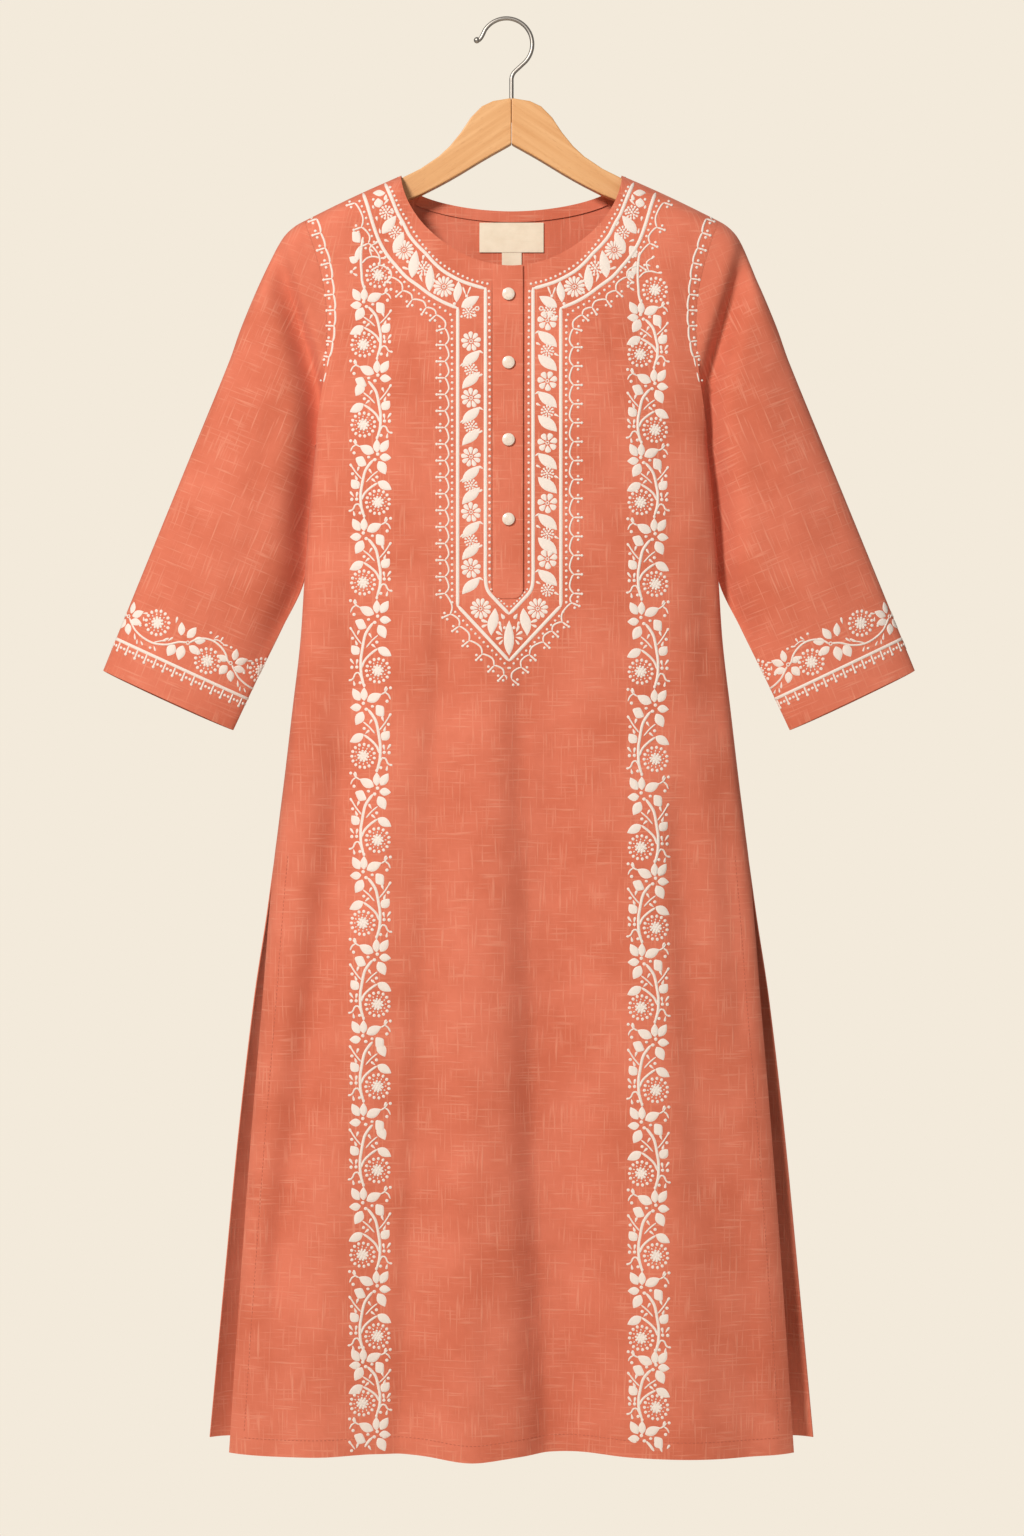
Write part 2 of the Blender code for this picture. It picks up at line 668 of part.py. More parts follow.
def stem_hole(name, collection):
    """Room for the hook's stem where the two arms meet."""
    bm = bmesh.new()
    radius = (WIRE / 2.0 + SEAM) * MM
    bmesh.ops.create_cone(
        bm, cap_ends=True, segments=16, radius1=radius, radius2=radius, depth=(HOOK_IN_WOOD + 10.0) * MM
    )
    mesh = bpy.data.meshes.new(name)
    bm.to_mesh(mesh)
    bm.free()
    item = new_object(name, mesh, collection)
    top = ARM_OUTLINE[0][1]
    item.location = (0.0, 0.0, (top - SEAM - HOOK_IN_WOOD + (HOOK_IN_WOOD + 10.0) / 2.0) * MM)
    return item


def bend(start, corner, end, steps):
    """Points of a round bend that leaves start for the corner and arrives at end."""
    points = []
    for i in range(steps + 1):
        t = i / steps
        points.append(tuple(
            (1 - t) ** 2 * a + 2 * t * (1 - t) * b + t * t * c for a, b, c in zip(start, corner, end)
        ))
    return points


def hook_route():
    """Middle line of the wire, as x and z: flared tip, loop, straight run, bend, stem."""
    inner = HOOK_RADIUS - WIRE / 2.0
    centre_z = -math.sqrt(inner ** 2 - HOOK_CENTRE_X ** 2)
    steps = 26
    loop = []
    for i in range(steps + 1):
        turn = math.radians(HOOK_TIP_ANGLE + (HOOK_FOOT_ANGLE - HOOK_TIP_ANGLE) * i / steps)
        loop.append((HOOK_CENTRE_X + HOOK_RADIUS * math.cos(turn), centre_z + HOOK_RADIUS * math.sin(turn)))
    flare = [(loop[0][0] + dx, loop[0][1] + dz) for dx, dz in HOOK_FLARE]
    foot_x, foot_z = loop[-1]
    corner = (0.0, HOOK_BEND_LEVEL)
    run = math.hypot(foot_x, foot_z - HOOK_BEND_LEVEL)
    share = HOOK_BEND_REACH / run
    before = (foot_x * share, HOOK_BEND_LEVEL + (foot_z - HOOK_BEND_LEVEL) * share)
    after = (0.0, HOOK_BEND_LEVEL - HOOK_BEND_REACH)
    stem_end = (0.0, ARM_OUTLINE[0][1] - HOOK_IN_WOOD + 1.0)
    return flare + loop + bend(before, corner, after, 5) + [stem_end]


def make_hook(collection, steel):
    curve = bpy.data.curves.new("hanger_hook", "CURVE")
    curve.dimensions = "3D"
    curve.bevel_depth = WIRE / 2.0 * MM
    curve.bevel_resolution = 2
    curve.use_fill_caps = True
    spline = curve.splines.new("POLY")
    route = hook_route()
    spline.points.add(len(route) - 1)
    for point, (x, z) in zip(spline.points, route):
        point.co = (x * MM, 0.0, z * MM, 1.0)
    item = curve_to_mesh("hanger_hook", curve, collection)
    ball_mesh = bpy.data.meshes.new("hook_ball")
    bm = bmesh.new()
    bmesh.ops.create_uvsphere(bm, u_segments=12, v_segments=8, radius=HOOK_BALL / 2.0 * MM)
    bm.to_mesh(ball_mesh)
    bm.free()
    ball = new_object("hook_ball", ball_mesh, bpy.data.collections["cutters"])
    ball.location = (route[0][0] * MM, 0.0, route[0][1] * MM)
    ball.hide_render = True
    ball.display_type = "WIRE"
    join = item.modifiers.new("ball", "BOOLEAN")
    join.operation = "UNION"
    join.object = ball
    item.data.materials.append(steel)


def main():
    for item in list(bpy.data.objects):
        bpy.data.objects.remove(item, do_unlink=True)
    parts = bpy.data.collections.new("kurta_on_hanger")
    cutters = bpy.data.collections.new("cutters")
    bpy.context.scene.collection.children.link(parts)
    bpy.context.scene.collection.children.link(cutters)

    cloth_colour = (0.62, 0.185, 0.11)
    make_front(parts, cutters, material("front_cloth", cloth_colour, 0.85))
    make_back(parts, cutters, material("back_cloth", cloth_colour, 0.85))
    make_sleeve("sleeve_left", -1.0, parts, material("left_sleeve_cloth", cloth_colour, 0.85))
    make_sleeve("sleeve_right", 1.0, parts, material("right_sleeve_cloth", cloth_colour, 0.85))
    make_placket(parts, material("placket_cloth", cloth_colour, 0.85))
    make_facing(parts, material("facing_cloth", cloth_colour, 0.85))
    make_labels(parts, material("label_tape", (0.83, 0.76, 0.64), 0.7))
    make_buttons(parts, material("pearl", (0.85, 0.8, 0.72), 0.25))
    wood = material("beech", (0.76, 0.48, 0.24), 0.45)
    make_arm("hanger_arm_left", -1.0, parts, cutters, wood)
    make_arm("hanger_arm_right", 1.0, parts, cutters, wood)
    make_hook(parts, material("steel", (0.62, 0.62, 0.62), 0.3, 1.0))


main()
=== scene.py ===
import math

import bpy
import numpy as np
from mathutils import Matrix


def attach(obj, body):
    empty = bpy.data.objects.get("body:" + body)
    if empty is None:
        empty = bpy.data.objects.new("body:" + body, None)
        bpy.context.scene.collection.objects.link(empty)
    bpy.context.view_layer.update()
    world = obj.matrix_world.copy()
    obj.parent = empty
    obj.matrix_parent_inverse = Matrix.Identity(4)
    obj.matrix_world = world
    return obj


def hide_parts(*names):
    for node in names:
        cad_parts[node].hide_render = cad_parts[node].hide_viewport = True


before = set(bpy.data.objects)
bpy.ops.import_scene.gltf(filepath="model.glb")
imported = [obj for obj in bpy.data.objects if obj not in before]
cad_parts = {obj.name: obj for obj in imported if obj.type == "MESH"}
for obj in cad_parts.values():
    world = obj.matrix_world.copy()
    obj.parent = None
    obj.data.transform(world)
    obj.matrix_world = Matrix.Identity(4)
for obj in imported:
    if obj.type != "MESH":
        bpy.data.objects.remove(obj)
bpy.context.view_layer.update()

MM = 0.001
BODY_NAME = "root"

# Cloth and seams
CLOTH_WALL = 1.1
SIDE_SEAM_HALF = 0.42

# Neck and shoulders
NECK_HALF = 98.5
NECK_TOP = -139.5
FRONT_NECK_DEPTH = 84.6
BACK_NECK_DEPTH = 29.0
NECK_ROUNDNESS = 1.85
SHOULDER_HALF = 185.0
SHOULDER_SLOPE = 0.42
SHOULDER_CURVE = 0.00055
RIDGE_REACH = 22.0
RIDGE_ROUNDNESS = 2.2

# Body lengths
UNDERARM = -381.0
FRONT_HEM = -1282.0
BACK_HEM = -1275.0
SIDE_ROUNDNESS = 3.0

# Sections of the body from the shoulders down.
# level, front half width, back half width, front depth, back depth, openness of the side
BODY_COLUMNS = ("level", "front_half", "back_half", "front_depth", "back_depth", "openness")
BODY_SECTIONS = (
    (-90.0, 187.0, 187.0, 25.0, 20.0, 0.35),
    (-180.0, 185.0, 185.0, 26.0, 20.0, 0.35),
    (-206.0, 177.0, 177.0, 27.0, 19.0, 0.26),
    (-243.0, 167.5, 167.5, 28.5, 18.0, 0.15),
    (-280.0, 165.0, 165.0, 30.0, 17.0, 0.10),
    (-318.0, 167.5, 167.5, 32.0, 17.0, 0.08),
    (-345.0, 171.5, 171.5, 33.0, 17.5, 0.05),
    (-366.0, 174.5, 174.5, 34.0, 17.5, 0.016),
    (-381.0, 176.0, 176.0, 34.5, 18.0, 0.0),
    (-440.0, 181.5, 181.5, 36.5, 18.0, 0.0),
    (-500.0, 186.0, 186.0, 38.0, 18.5, 0.0),
    (-560.0, 190.0, 190.0, 39.5, 18.5, 0.0),
    (-620.0, 197.0, 197.0, 41.0, 19.0, 0.0),
    (-680.0, 204.0, 204.0, 42.0, 19.5, 0.0),
    (-732.0, 210.5, 210.5, 43.0, 20.0, 0.0),
    (-760.0, 213.5, 214.5, 43.5, 20.0, 0.004),
    (-811.0, 217.8, 221.5, 44.0, 20.5, 0.010),
    (-880.0, 223.0, 232.0, 45.0, 21.0, 0.016),
    (-1000.0, 232.8, 246.0, 46.5, 21.5, 0.022),
    (-1140.0, 243.0, 259.5, 48.5, 22.5, 0.027),
    (-1290.0, 253.0, 273.5, 50.0, 23.0, 0.03),
)

# Folds of a panel, one row each; a negative depth is a ridge.
# x at the top, z at the top, x at the end, z at the end, half width, depth at the top, depth at the end
FRONT_FOLDS = (
    (-30.0, -640.0, -36.0, -1290.0, 34.0, -2.0, -8.0),
    (48.0, -640.0, 60.0, -1290.0, 40.0, 2.0, 9.0),
    (-182.0, -560.0, -232.0, -1080.0, 20.0, -4.0, -3.0),
    (-140.0, -560.0, -196.0, -1100.0, 24.0, 8.0, 5.0),
    (-85.0, -600.0, -118.0, -1290.0, 24.0, 1.5, 5.0),
    (-168.0, -1060.0, -172.0, -1290.0, 26.0, -2.0, -5.0),
    (176.0, -540.0, 205.0, -870.0, 16.0, 6.0, 4.0),
    (120.0, -760.0, 158.0, -1290.0, 34.0, -1.0, -6.0),
    (196.0, -980.0, 214.0, -1290.0, 18.0, 3.0, 5.0),
    (-112.0, -250.0, -128.0, -420.0, 18.0, 2.5, 1.0),
    (118.0, -250.0, 134.0, -430.0, 18.0, 2.5, 1.0),
)
BACK_FOLDS = (
    (-12.0, -420.0, 16.0, -1280.0, 44.0, 2.0, 6.0),
    (-92.0, -620.0, -118.0, -1280.0, 34.0, -1.0, -5.0),
    (84.0, -560.0, 112.0, -1280.0, 36.0, -1.0, -5.5),
    (-176.0, -560.0, -206.0, -1180.0, 24.0, 5.0, 4.0),
    (168.0, -620.0, 202.0, -1240.0, 22.0, 4.5, 5.0),
    (-128.0, -230.0, -116.0, -420.0, 26.0, 3.0, 1.0),
    (124.0, -230.0, 118.0, -400.0, 26.0, 3.0, 1.0),
)
FOLD_FADE = 55.0
# Deeper troughs of the front below the chest, steeper on their left.
# x and z at the top, x and z at the end, half widths to the left and right, depth at the top and the end
FRONT_TROUGHS = (
    (12.0, -630.0, 34.0, -1290.0, 17.0, 44.0, 7.0, 15.0),
    (-150.0, -690.0, -208.0, -1110.0, 15.0, 24.0, 10.0, 11.0),
    (-62.0, -560.0, -98.0, -1290.0, 12.0, 34.0, 4.0, 7.0),
    (150.0, -745.0, 168.0, -1010.0, 12.0, 28.0, 6.0, 5.0),
)

# Creases finer than the folds, each a soft trough (or ridge, if negative) between two places.
# x and z of the start, x and z of the end, half width, depth
FRONT_CREASES = (
    (-158.0, -330.0, -132.0, -420.0, 9.0, 1.6),
    (-150.0, -352.0, -112.0, -470.0, 11.0, 1.2),
    (-166.0, -392.0, -146.0, -520.0, 9.0, 1.5),
    (-176.0, -440.0, -170.0, -600.0, 8.0, 1.6),
    (156.0, -335.0, 128.0, -428.0, 9.0, 1.5),
    (160.0, -380.0, 138.0, -500.0, 10.0, 1.3),
    (178.0, -450.0, 172.0, -590.0, 8.0, 1.7),
    (-84.0, -262.0, -92.0, -330.0, 7.0, 0.8),
    (-76.0, -285.0, -80.0, -372.0, 6.0, 0.6),
    (88.0, -266.0, 96.0, -340.0, 7.0, 0.9),
    (-58.0, -600.0, -96.0, -760.0, 12.0, 1.0),
    (22.0, -610.0, 12.0, -800.0, 12.0, -0.8),
    (84.0, -620.0, 98.0, -820.0, 13.0, 1.1),
    (-196.0, -700.0, -214.0, -900.0, 9.0, 1.6),
    (192.0, -720.0, 206.0, -940.0, 9.0, 1.5),
    (-60.0, -880.0, -72.0, -1120.0, 14.0, 1.5),
    (10.0, -900.0, 14.0, -1200.0, 13.0, 1.4),
    (104.0, -960.0, 112.0, -1230.0, 12.0, 1.6),
    (-150.0, -900.0, -166.0, -1180.0, 11.0, -1.3),
    (-206.0, -1020.0, -216.0, -1260.0, 9.0, 1.8),
    (178.0, -1040.0, 186.0, -1270.0, 10.0, 1.6),
    (-24.0, -1120.0, -18.0, -1290.0, 12.0, 1.5),
)
BACK_CREASES = (
    (-150.0, -330.0, -118.0, -430.0, 10.0, 1.4),
    (152.0, -340.0, 126.0, -440.0, 10.0, 1.4),
    (-60.0, -210.0, -20.0, -260.0, 12.0, 1.0),
    (60.0, -215.0, 24.0, -262.0, 12.0, 0.9),
    (-168.0, -430.0, -160.0, -600.0, 9.0, 1.5),
    (166.0, -440.0, 158.0, -610.0, 9.0, 1.4),
    (-44.0, -520.0, -52.0, -820.0, 14.0, 1.2),
    (46.0, -540.0, 54.0, -860.0, 14.0, 1.3),
    (-150.0, -800.0, -160.0, -1120.0, 13.0, 1.5),
    (142.0, -820.0, 150.0, -1140.0, 13.0, 1.4),
    (-64.0, -960.0, -60.0, -1240.0, 13.0, 1.6),
    (58.0, -980.0, 62.0, -1250.0, 13.0, 1.5),
    (224.0, -1020.0, 236.0, -1260.0, 10.0, 1.6),
    (-226.0, -1000.0, -238.0, -1250.0, 10.0, 1.6),
)

# Rise and fall of the hems: distance from the middle, drop below the hem level
FRONT_HEM_WAVE = (
    (-253.0, 2.0), (-215.0, 2.5), (-168.0, 1.5), (-123.0, -0.5), (-80.0, 0.5), (-35.0, 5.0),
    (10.0, 1.0), (60.0, -0.5), (105.0, 2.0), (150.0, 3.0), (200.0, 3.5), (253.0, 2.0),
)
BACK_HEM_WAVE = (
    (-273.0, 0.0), (-200.0, 1.5), (-110.0, -1.5), (0.0, 1.5), (100.0, -1.5), (200.0, 1.0), (273.0, 0.0),
)
HEM_WAVE_REACH = 170.0
# Beside the slits the back's edges lean towards the front
SLIT_TOP = -732.0
SLIT_LEAN = 6.5
SLIT_LEAN_REACH = 20.0
SLIT_LEAN_MOST = 1.2
SLIT_LEAN_FADE = 90.0

# Sleeves: the two edges of the flat sleeve, as distance from the middle of the body and level
SLEEVE_OUTER = (
    (185.6, -180.0), (194.0, -184.5), (202.5, -191.7), (208.6, -200.0), (215.6, -213.0),
    (230.0, -244.0), (244.4, -279.0), (253.5, -305.0), (291.5, -398.0), (329.5, -491.0), (367.5, -584.6),
)
SLEEVE_INNER = (
    (176.4, -382.0), (178.1, -400.0), (183.2, -457.0), (186.7, -503.0), (206.4, -546.0),
    (228.6, -592.0), (250.4, -638.3),
)
# Sections of a sleeve by share of its length: front depth, back depth
SLEEVE_COLUMNS = ("share", "front_depth", "back_depth")
SLEEVE_SECTIONS = (
    (0.0, 22.0, 15.0), (0.25, 24.0, 15.0), (0.5, 23.0, 14.0), (0.8, 18.0, 12.5), (1.0, 15.0, 12.0),
)
SLEEVE_SEAM = 0.15
ARMHOLE_FADE = 0.4
CUFF_BACK_EXTRA = 2.0
CUFF_BACK_FROM = 0.97
# Fold of a sleeve beside the body: level, distance of its floor from the middle, share of the depth taken
SLEEVE_FOLD_COLUMNS = ("level", "reach", "share")
SLEEVE_FOLD = (
    (-192.0, 209.0, 0.0), (-214.0, 207.0, 0.4), (-242.0, 200.0, 0.68), (-266.0, 193.0, 0.8),
    (-303.0, 182.0, 0.9), (-332.0, 175.0, 0.94), (-352.0, 173.0, 0.96), (-382.0, 175.0, 0.96),
    (-457.0, 182.5, 0.95), (-503.0, 186.5, 0.9), (-546.0, 206.4, 0.6), (-600.0, 232.0, 0.0),
)
# It opens softly away from the body and rises steeply to the armhole
SLEEVE_FOLD_OUT = 14.5
SLEEVE_FOLD_IN = 7.0
SLEEVE_FOLD_START = 0.006
SLEEVE_FOLD_ON_BACK = 0.6
# The inner edge is tucked back beside the body: level, distance towards the back
SLEEVE_TUCK = (
    (-350.0, 0.0), (-376.0, 3.0), (-400.0, 6.0), (-430.0, 8.5), (-470.0, 9.5), (-505.0, 9.0),
    (-546.0, 5.0), (-592.0, 0.0),
)
SLEEVE_TUCK_REACH = 15.0
# The right sleeve's outer edge hangs nearer by this much, reached at this share of its length
RIGHT_SLEEVE_NEARER = 4.5
RIGHT_SLEEVE_NEARER_FROM = 0.15
# Creases of a sleeve, as those of the panels, with the distance from the middle for x
SLEEVE_FRONT_CREASES = (
    (212.0, -215.0, 224.0, -330.0, 10.0, 1.6),
    (232.0, -262.0, 252.0, -380.0, 12.0, 1.4),
    (206.0, -330.0, 232.0, -430.0, 9.0, 1.5),
    (214.0, -420.0, 250.0, -520.0, 10.0, 1.3),
    (262.0, -390.0, 300.0, -500.0, 12.0, 1.2),
    (244.0, -500.0, 272.0, -580.0, 10.0, 1.0),
    (300.0, -470.0, 330.0, -560.0, 11.0, 0.8),
)
SLEEVE_BACK_CREASES = (
    (206.0, -230.0, 222.0, -340.0, 11.0, 1.5),
    (226.0, -300.0, 256.0, -420.0, 12.0, 1.3),
    (204.0, -380.0, 232.0, -480.0, 10.0, 1.3),
    (270.0, -420.0, 304.0, -530.0, 12.0, 1.0),
    (240.0, -500.0, 268.0, -585.0, 10.0, 0.9),
)

# Placket in the middle of the front: the slot in the panel, and the two strips in it
PLACKET_LEFT = -17.6
PLACKET_RIGHT = 13.4
PLACKET_END = -520.0
PLACKET_CORNER = 8.0
OVERLAP_RIGHT = 10.2
UNDERLAP_LEFT = -8.0
UNDERLAP_RIGHT = 21.0
UNDERLAP_BELOW = 8.0
UNDERLAP_CORNER = 1.5
UNDERLAP_OUT = -1.5
UNDERLAP_EDGE_DROP = 0.1
OVERLAP_LEFT = -17.1
OVERLAP_BELOW = 1.6
OVERLAP_OUT = 1.1
OVERLAP_EDGE_DROP = 0.35
SLOT_END = -516.0
STRIP_WALL = 0.75
# A strip's edges are drawn down past this share of its half width, and over this last height
STRIP_EDGE_FROM = 0.86
STRIP_END_ROUND = 1.6

# Buttons
BUTTON_LEVELS = (-249.7, -311.0, -380.0, -450.9)
BUTTON_ACROSS = 11.3
BUTTON_THICK = 3.4
BUTTON_X = -2.7
BUTTON_OUT = 0.95
BUTTON_FULLNESS = 0.8
BUTTON_SEAT_HALF = 3.0
# Groove behind the rim: depth, and its place and half width as shares of the button's half
GROOVE_DEPTH = 0.16
GROOVE_AT = 0.8
GROOVE_HALF = 0.05

# Facing and labels inside the back neck
CLOTH_SOLID = 1.4
FACING_WIDTH = 9.8
FACING_SHARE = 0.84
LINING_GAP = 0.5
TAPE_WALL = 0.8
LABEL_SIZE = (58.0, 27.0)
TAB_SIZE = (17.8, 12.6)
TAB_SHIFT = 0.2
TAB_GAP = 0.3

# Hook wire
WIRE = 3.8
HOOK_RADIUS = 23.2
HOOK_CENTRE_X = -4.5
HOOK_TIP_ANGLE = 147.0
HOOK_FOOT_ANGLE = -47.0
HOOK_FLARE = ((-7.2, -9.1), (-5.9, -9.1), (-4.8, -8.6), (-3.4, -6.9), (-1.6, -3.5))
HOOK_BEND_LEVEL = -48.2
HOOK_BEND_REACH = 5.0
HOOK_BALL = 5.6
STEM_TOP_IN_WOOD = -70.2
HOOK_IN_WOOD = 22.0


def smooth(pairs, at):
    """Values of a smooth curve through (position, value) pairs."""
    table = np.array(sorted(pairs), dtype=float)
    places, values = table[:, 0], table[:, 1]
    slopes = np.empty_like(values)
    slopes[1:-1] = (values[2:] - values[:-2]) / (places[2:] - places[:-2])
    slopes[0] = (values[1] - values[0]) / (places[1] - places[0])
    slopes[-1] = (values[-1] - values[-2]) / (places[-1] - places[-2])
    at = np.clip(np.asarray(at, dtype=float), places[0], places[-1])
    i = np.clip(np.searchsorted(places, at, side="right") - 1, 0, len(places) - 2)
    span = places[i + 1] - places[i]
    t = (at - places[i]) / span
    return (
        (2 * t ** 3 - 3 * t ** 2 + 1) * values[i]
        + (t ** 3 - 2 * t ** 2 + t) * span * slopes[i]
        + (3 * t ** 2 - 2 * t ** 3) * values[i + 1]
        + (t ** 3 - t ** 2) * span * slopes[i + 1]
    )


def column(table, names, name):
    """Pairs of a table's first column and a named one."""
    index = names.index(name)
    return [(row[0], row[index]) for row in table]


BODY = {name: column(BODY_SECTIONS, BODY_COLUMNS, name) for name in BODY_COLUMNS[1:]}
SLEEVE = {name: column(SLEEVE_SECTIONS, SLEEVE_COLUMNS, name) for name in SLEEVE_COLUMNS[1:]}
SLEEVE_VALLEY = {name: column(SLEEVE_FOLD, SLEEVE_FOLD_COLUMNS, name) for name in SLEEVE_FOLD_COLUMNS[1:]}


def rounded(share, roundness):
    """1 in the middle, falling round to 0 where share is 1."""
    return np.maximum(1.0 - np.minimum(np.abs(share), 1.0) ** roundness, 0.0) ** (1.0 / roundness)


def shoulder_height(x):
    """Level of the shoulder seam, carried on past the neck to the middle."""
    out = np.abs(x) - NECK_HALF
    return NECK_TOP - SHOULDER_SLOPE * out - SHOULDER_CURVE * np.maximum(out, 0.0) ** 2


def neck_level(x, depth):
    """Level of the neckline at x."""
    return NECK_TOP - depth * rounded(x / NECK_HALF, NECK_ROUNDNESS)


def fold_depth(folds, x, z):
    """How far the folds push the cloth in; a row has one half width, or a left and a right one."""
    total = 0.0
    for x_top, z_top, x_end, z_end, *halves, depth_top, depth_end in folds:
        share = (z_top - z) / (z_top - z_end)
        inside = np.clip(share, 0.0, 1.0)
        past = np.abs(share - inside) * (z_top - z_end)
        off = x - x_top - (x_end - x_top) * inside
        half = np.where(off < 0.0, halves[0], halves[-1])
        depth = depth_top + (depth_end - depth_top) * inside
        total = total + depth * np.exp(-(past / FOLD_FADE) ** 2 - (off / half) ** 2)
    return total


def crease_depth(creases, x, z):
    """How far the fine creases push the cloth in; each is deepest halfway along."""
    total = 0.0
    for x0, z0, x1, z1, half, depth in creases:
        dx, dz = x1 - x0, z1 - z0
        share = np.clip(((x - x0) * dx + (z - z0) * dz) / (dx * dx + dz * dz), 0.0, 1.0)
        away = (x - x0 - share * dx) ** 2 + (z - z0 - share * dz) ** 2
        taper = 0.25 + 3.0 * share * (1.0 - share)
        total = total + depth * taper * np.exp(-away / half ** 2)
    return total


def panel_shape(x, z, half_pairs):
    """Share of the full depth: round over the hanger, round at the sides, open at the slits."""
    openness = np.maximum(smooth(BODY["openness"], z), 0.0)
    side = rounded(x / (smooth(half_pairs, z) * (1.0 + openness)), SIDE_ROUNDNESS)
    down = np.clip((shoulder_height(x) - z) / RIDGE_REACH, 0.0, 1.0)
    return side * rounded(1.0 - down, RIDGE_ROUNDNESS)


def front_y(x, z):
    pushed = fold_depth(FRONT_FOLDS + FRONT_TROUGHS, x, z) + crease_depth(FRONT_CREASES, x, z)
    depth = smooth(BODY["front_depth"], z) - pushed
    return -SIDE_SEAM_HALF - panel_shape(x, z, BODY["front_half"]) * depth


def back_y(x, z):
    pushed = fold_depth(BACK_FOLDS, x, z) + crease_depth(BACK_CREASES, x, z)
    depth = smooth(BODY["back_depth"], z) - pushed
    inwards = smooth(BODY["back_half"], z) - np.abs(x)
    beside = np.clip(1.0 - inwards / SLIT_LEAN_REACH, 0.0, SLIT_LEAN_MOST) ** 2
    below = np.clip((SLIT_TOP - z) / SLIT_LEAN_FADE, 0.0, 1.0)
    return SIDE_SEAM_HALF + panel_shape(x, z, BODY["back_half"]) * depth - SLIT_LEAN * beside * below


def front_surface(x, z):
    return np.stack(np.broadcast_arrays(x, front_y(x, z), z), axis=-1)


# Cloth panels

SPREAD_START = 0.18
SPREAD_POWER = 1.3
ARMHOLE_REACH = shoulder_height(SHOULDER_HALF) - UNDERARM


def panel_columns(fixed):
    """x of a panel's columns at the shoulders; the nearest ones are moved to the fixed values."""
    neck = NECK_HALF * np.sin(np.linspace(-math.pi / 2, math.pi / 2, 81))
    shoulder = NECK_HALF + (SHOULDER_HALF - NECK_HALF) * np.sin(np.linspace(0.0, math.pi / 2, 28))[1:]
    for value in fixed:
        neck[np.argmin(np.abs(neck - value))] = value
    return np.concatenate([-shoulder[::-1], neck, shoulder])


def panel_drops(hem, level):
    """Rows as drops below the shoulder seam: close over the ridge, then even down to the hem."""
    ridge = np.array([0.0, 0.4, 1.1, 2.1, 3.4, 5.2, 7.6, 10.8, 15.0, 20.0, 26.0, 33.0])
    chest = np.linspace(40.0, ARMHOLE_REACH, 24)
    upper = ARMHOLE_REACH + np.linspace(0.0, UNDERARM - level, 16)[1:]
    lower = ARMHOLE_REACH + np.linspace(UNDERARM - level, UNDERARM - hem, 84)[1:]
    return np.concatenate([ridge, chest, upper, lower])


def panel_places(columns, drops, neck_depth, half_pairs, hem, wave):
    """x and z of a panel's points, in rows from the hem up."""
    over_neck = np.abs(columns) < NECK_HALF
    top = np.where(over_neck, neck_level(columns, neck_depth), shoulder_height(columns))[None, :]
    drop = drops[::-1, None]
    inside = top - drop * (top - UNDERARM) / ARMHOLE_REACH
    z = np.where(drop <= ARMHOLE_REACH, inside, UNDERARM - (drop - ARMHOLE_REACH))
    outwards = np.abs(columns) / SHOULDER_HALF
    spread = np.clip((outwards - SPREAD_START) / (1.0 - SPREAD_START), 0.0, 1.0) ** SPREAD_POWER
    x = columns + np.sign(columns) * spread * (smooth(half_pairs, z) - SHOULDER_HALF)
    low = np.clip((hem + HEM_WAVE_REACH - z) / HEM_WAVE_REACH, 0.0, 1.0)
    return x, z - smooth(wave, x) * low * low


def deselect():
    if bpy.context.object and bpy.context.object.mode != "OBJECT":
        bpy.ops.object.mode_set(mode="OBJECT")
    bpy.ops.object.select_all(action="DESELECT")


def pick(item):
    """Selects one object alone and makes it active."""
    deselect()
    item.select_set(True)
    bpy.context.view_layer.objects.active = item


def set_uv(item, places):
    """Gives each corner of the piece its vertex's place on the flat cloth, in metres."""
    mesh = item.data
    layer = mesh.uv_layers.active or mesh.uv_layers.new(name="cloth")
    corner = np.empty(len(mesh.loops), dtype=np.int32)
    mesh.loops.foreach_get("vertex_index", corner)
    layer.data.foreach_set("uv", (np.asarray(places)[corner] * MM).ravel())


def arc_places(points, centre):
    """Flat places of a grid of points: run along each row from the centre column, and the level."""
    steps = np.linalg.norm(np.diff(points, axis=1), axis=2)
    run = np.concatenate([np.zeros((len(points), 1)), np.cumsum(steps, axis=1)], axis=1)
    run -= run[:, centre][:, None]
    return np.stack([run, points[:, :, 2]], axis=-1).reshape(-1, 2)


def cloth_grid(name, points, places):
    """A sheet on a primitive grid. Points are rows by columns by 3, and the outer face looks along
    the cross product of a row's direction and the direction from row to row."""
    rows, columns = points.shape[:2]
    deselect()
    bpy.ops.mesh.primitive_grid_add(x_subdivisions=columns - 1, y_subdivisions=rows - 1, size=2.0)
    item = bpy.context.object
    item.name = item.data.name = name
    item.data.vertices.foreach_set("co", (points.reshape(-1, 3) * MM).ravel())
    set_uv(item, places)
    item.data.update()
    return item


def thicken(item, wall, angle=40.0):
    """Gives a sheet its wall, inwards from its outer face, and smooths it."""
    solidify = item.modifiers.new("wall", "SOLIDIFY")
    solidify.thickness = wall * MM
    solidify.offset = -1.0
    solidify.use_even_offset = True
    pick(item)
    bpy.ops.object.modifier_apply(modifier=solidify.name)
    bpy.ops.object.shade_smooth_by_angle(angle=math.radians(angle))


def delete_faces(item, doomed):
    """Deletes the faces whose numbers are true in doomed."""
    pick(item)
    bpy.ops.object.mode_set(mode="EDIT")
    bpy.ops.mesh.select_mode(type="FACE")
    bpy.ops.mesh.select_all(action="DESELECT")
    bpy.ops.object.mode_set(mode="OBJECT")
    item.data.polygons.foreach_set("select", doomed)
    bpy.ops.object.mode_set(mode="EDIT")
    bpy.ops.mesh.delete(type="FACE")
    bpy.ops.object.mode_set(mode="OBJECT")


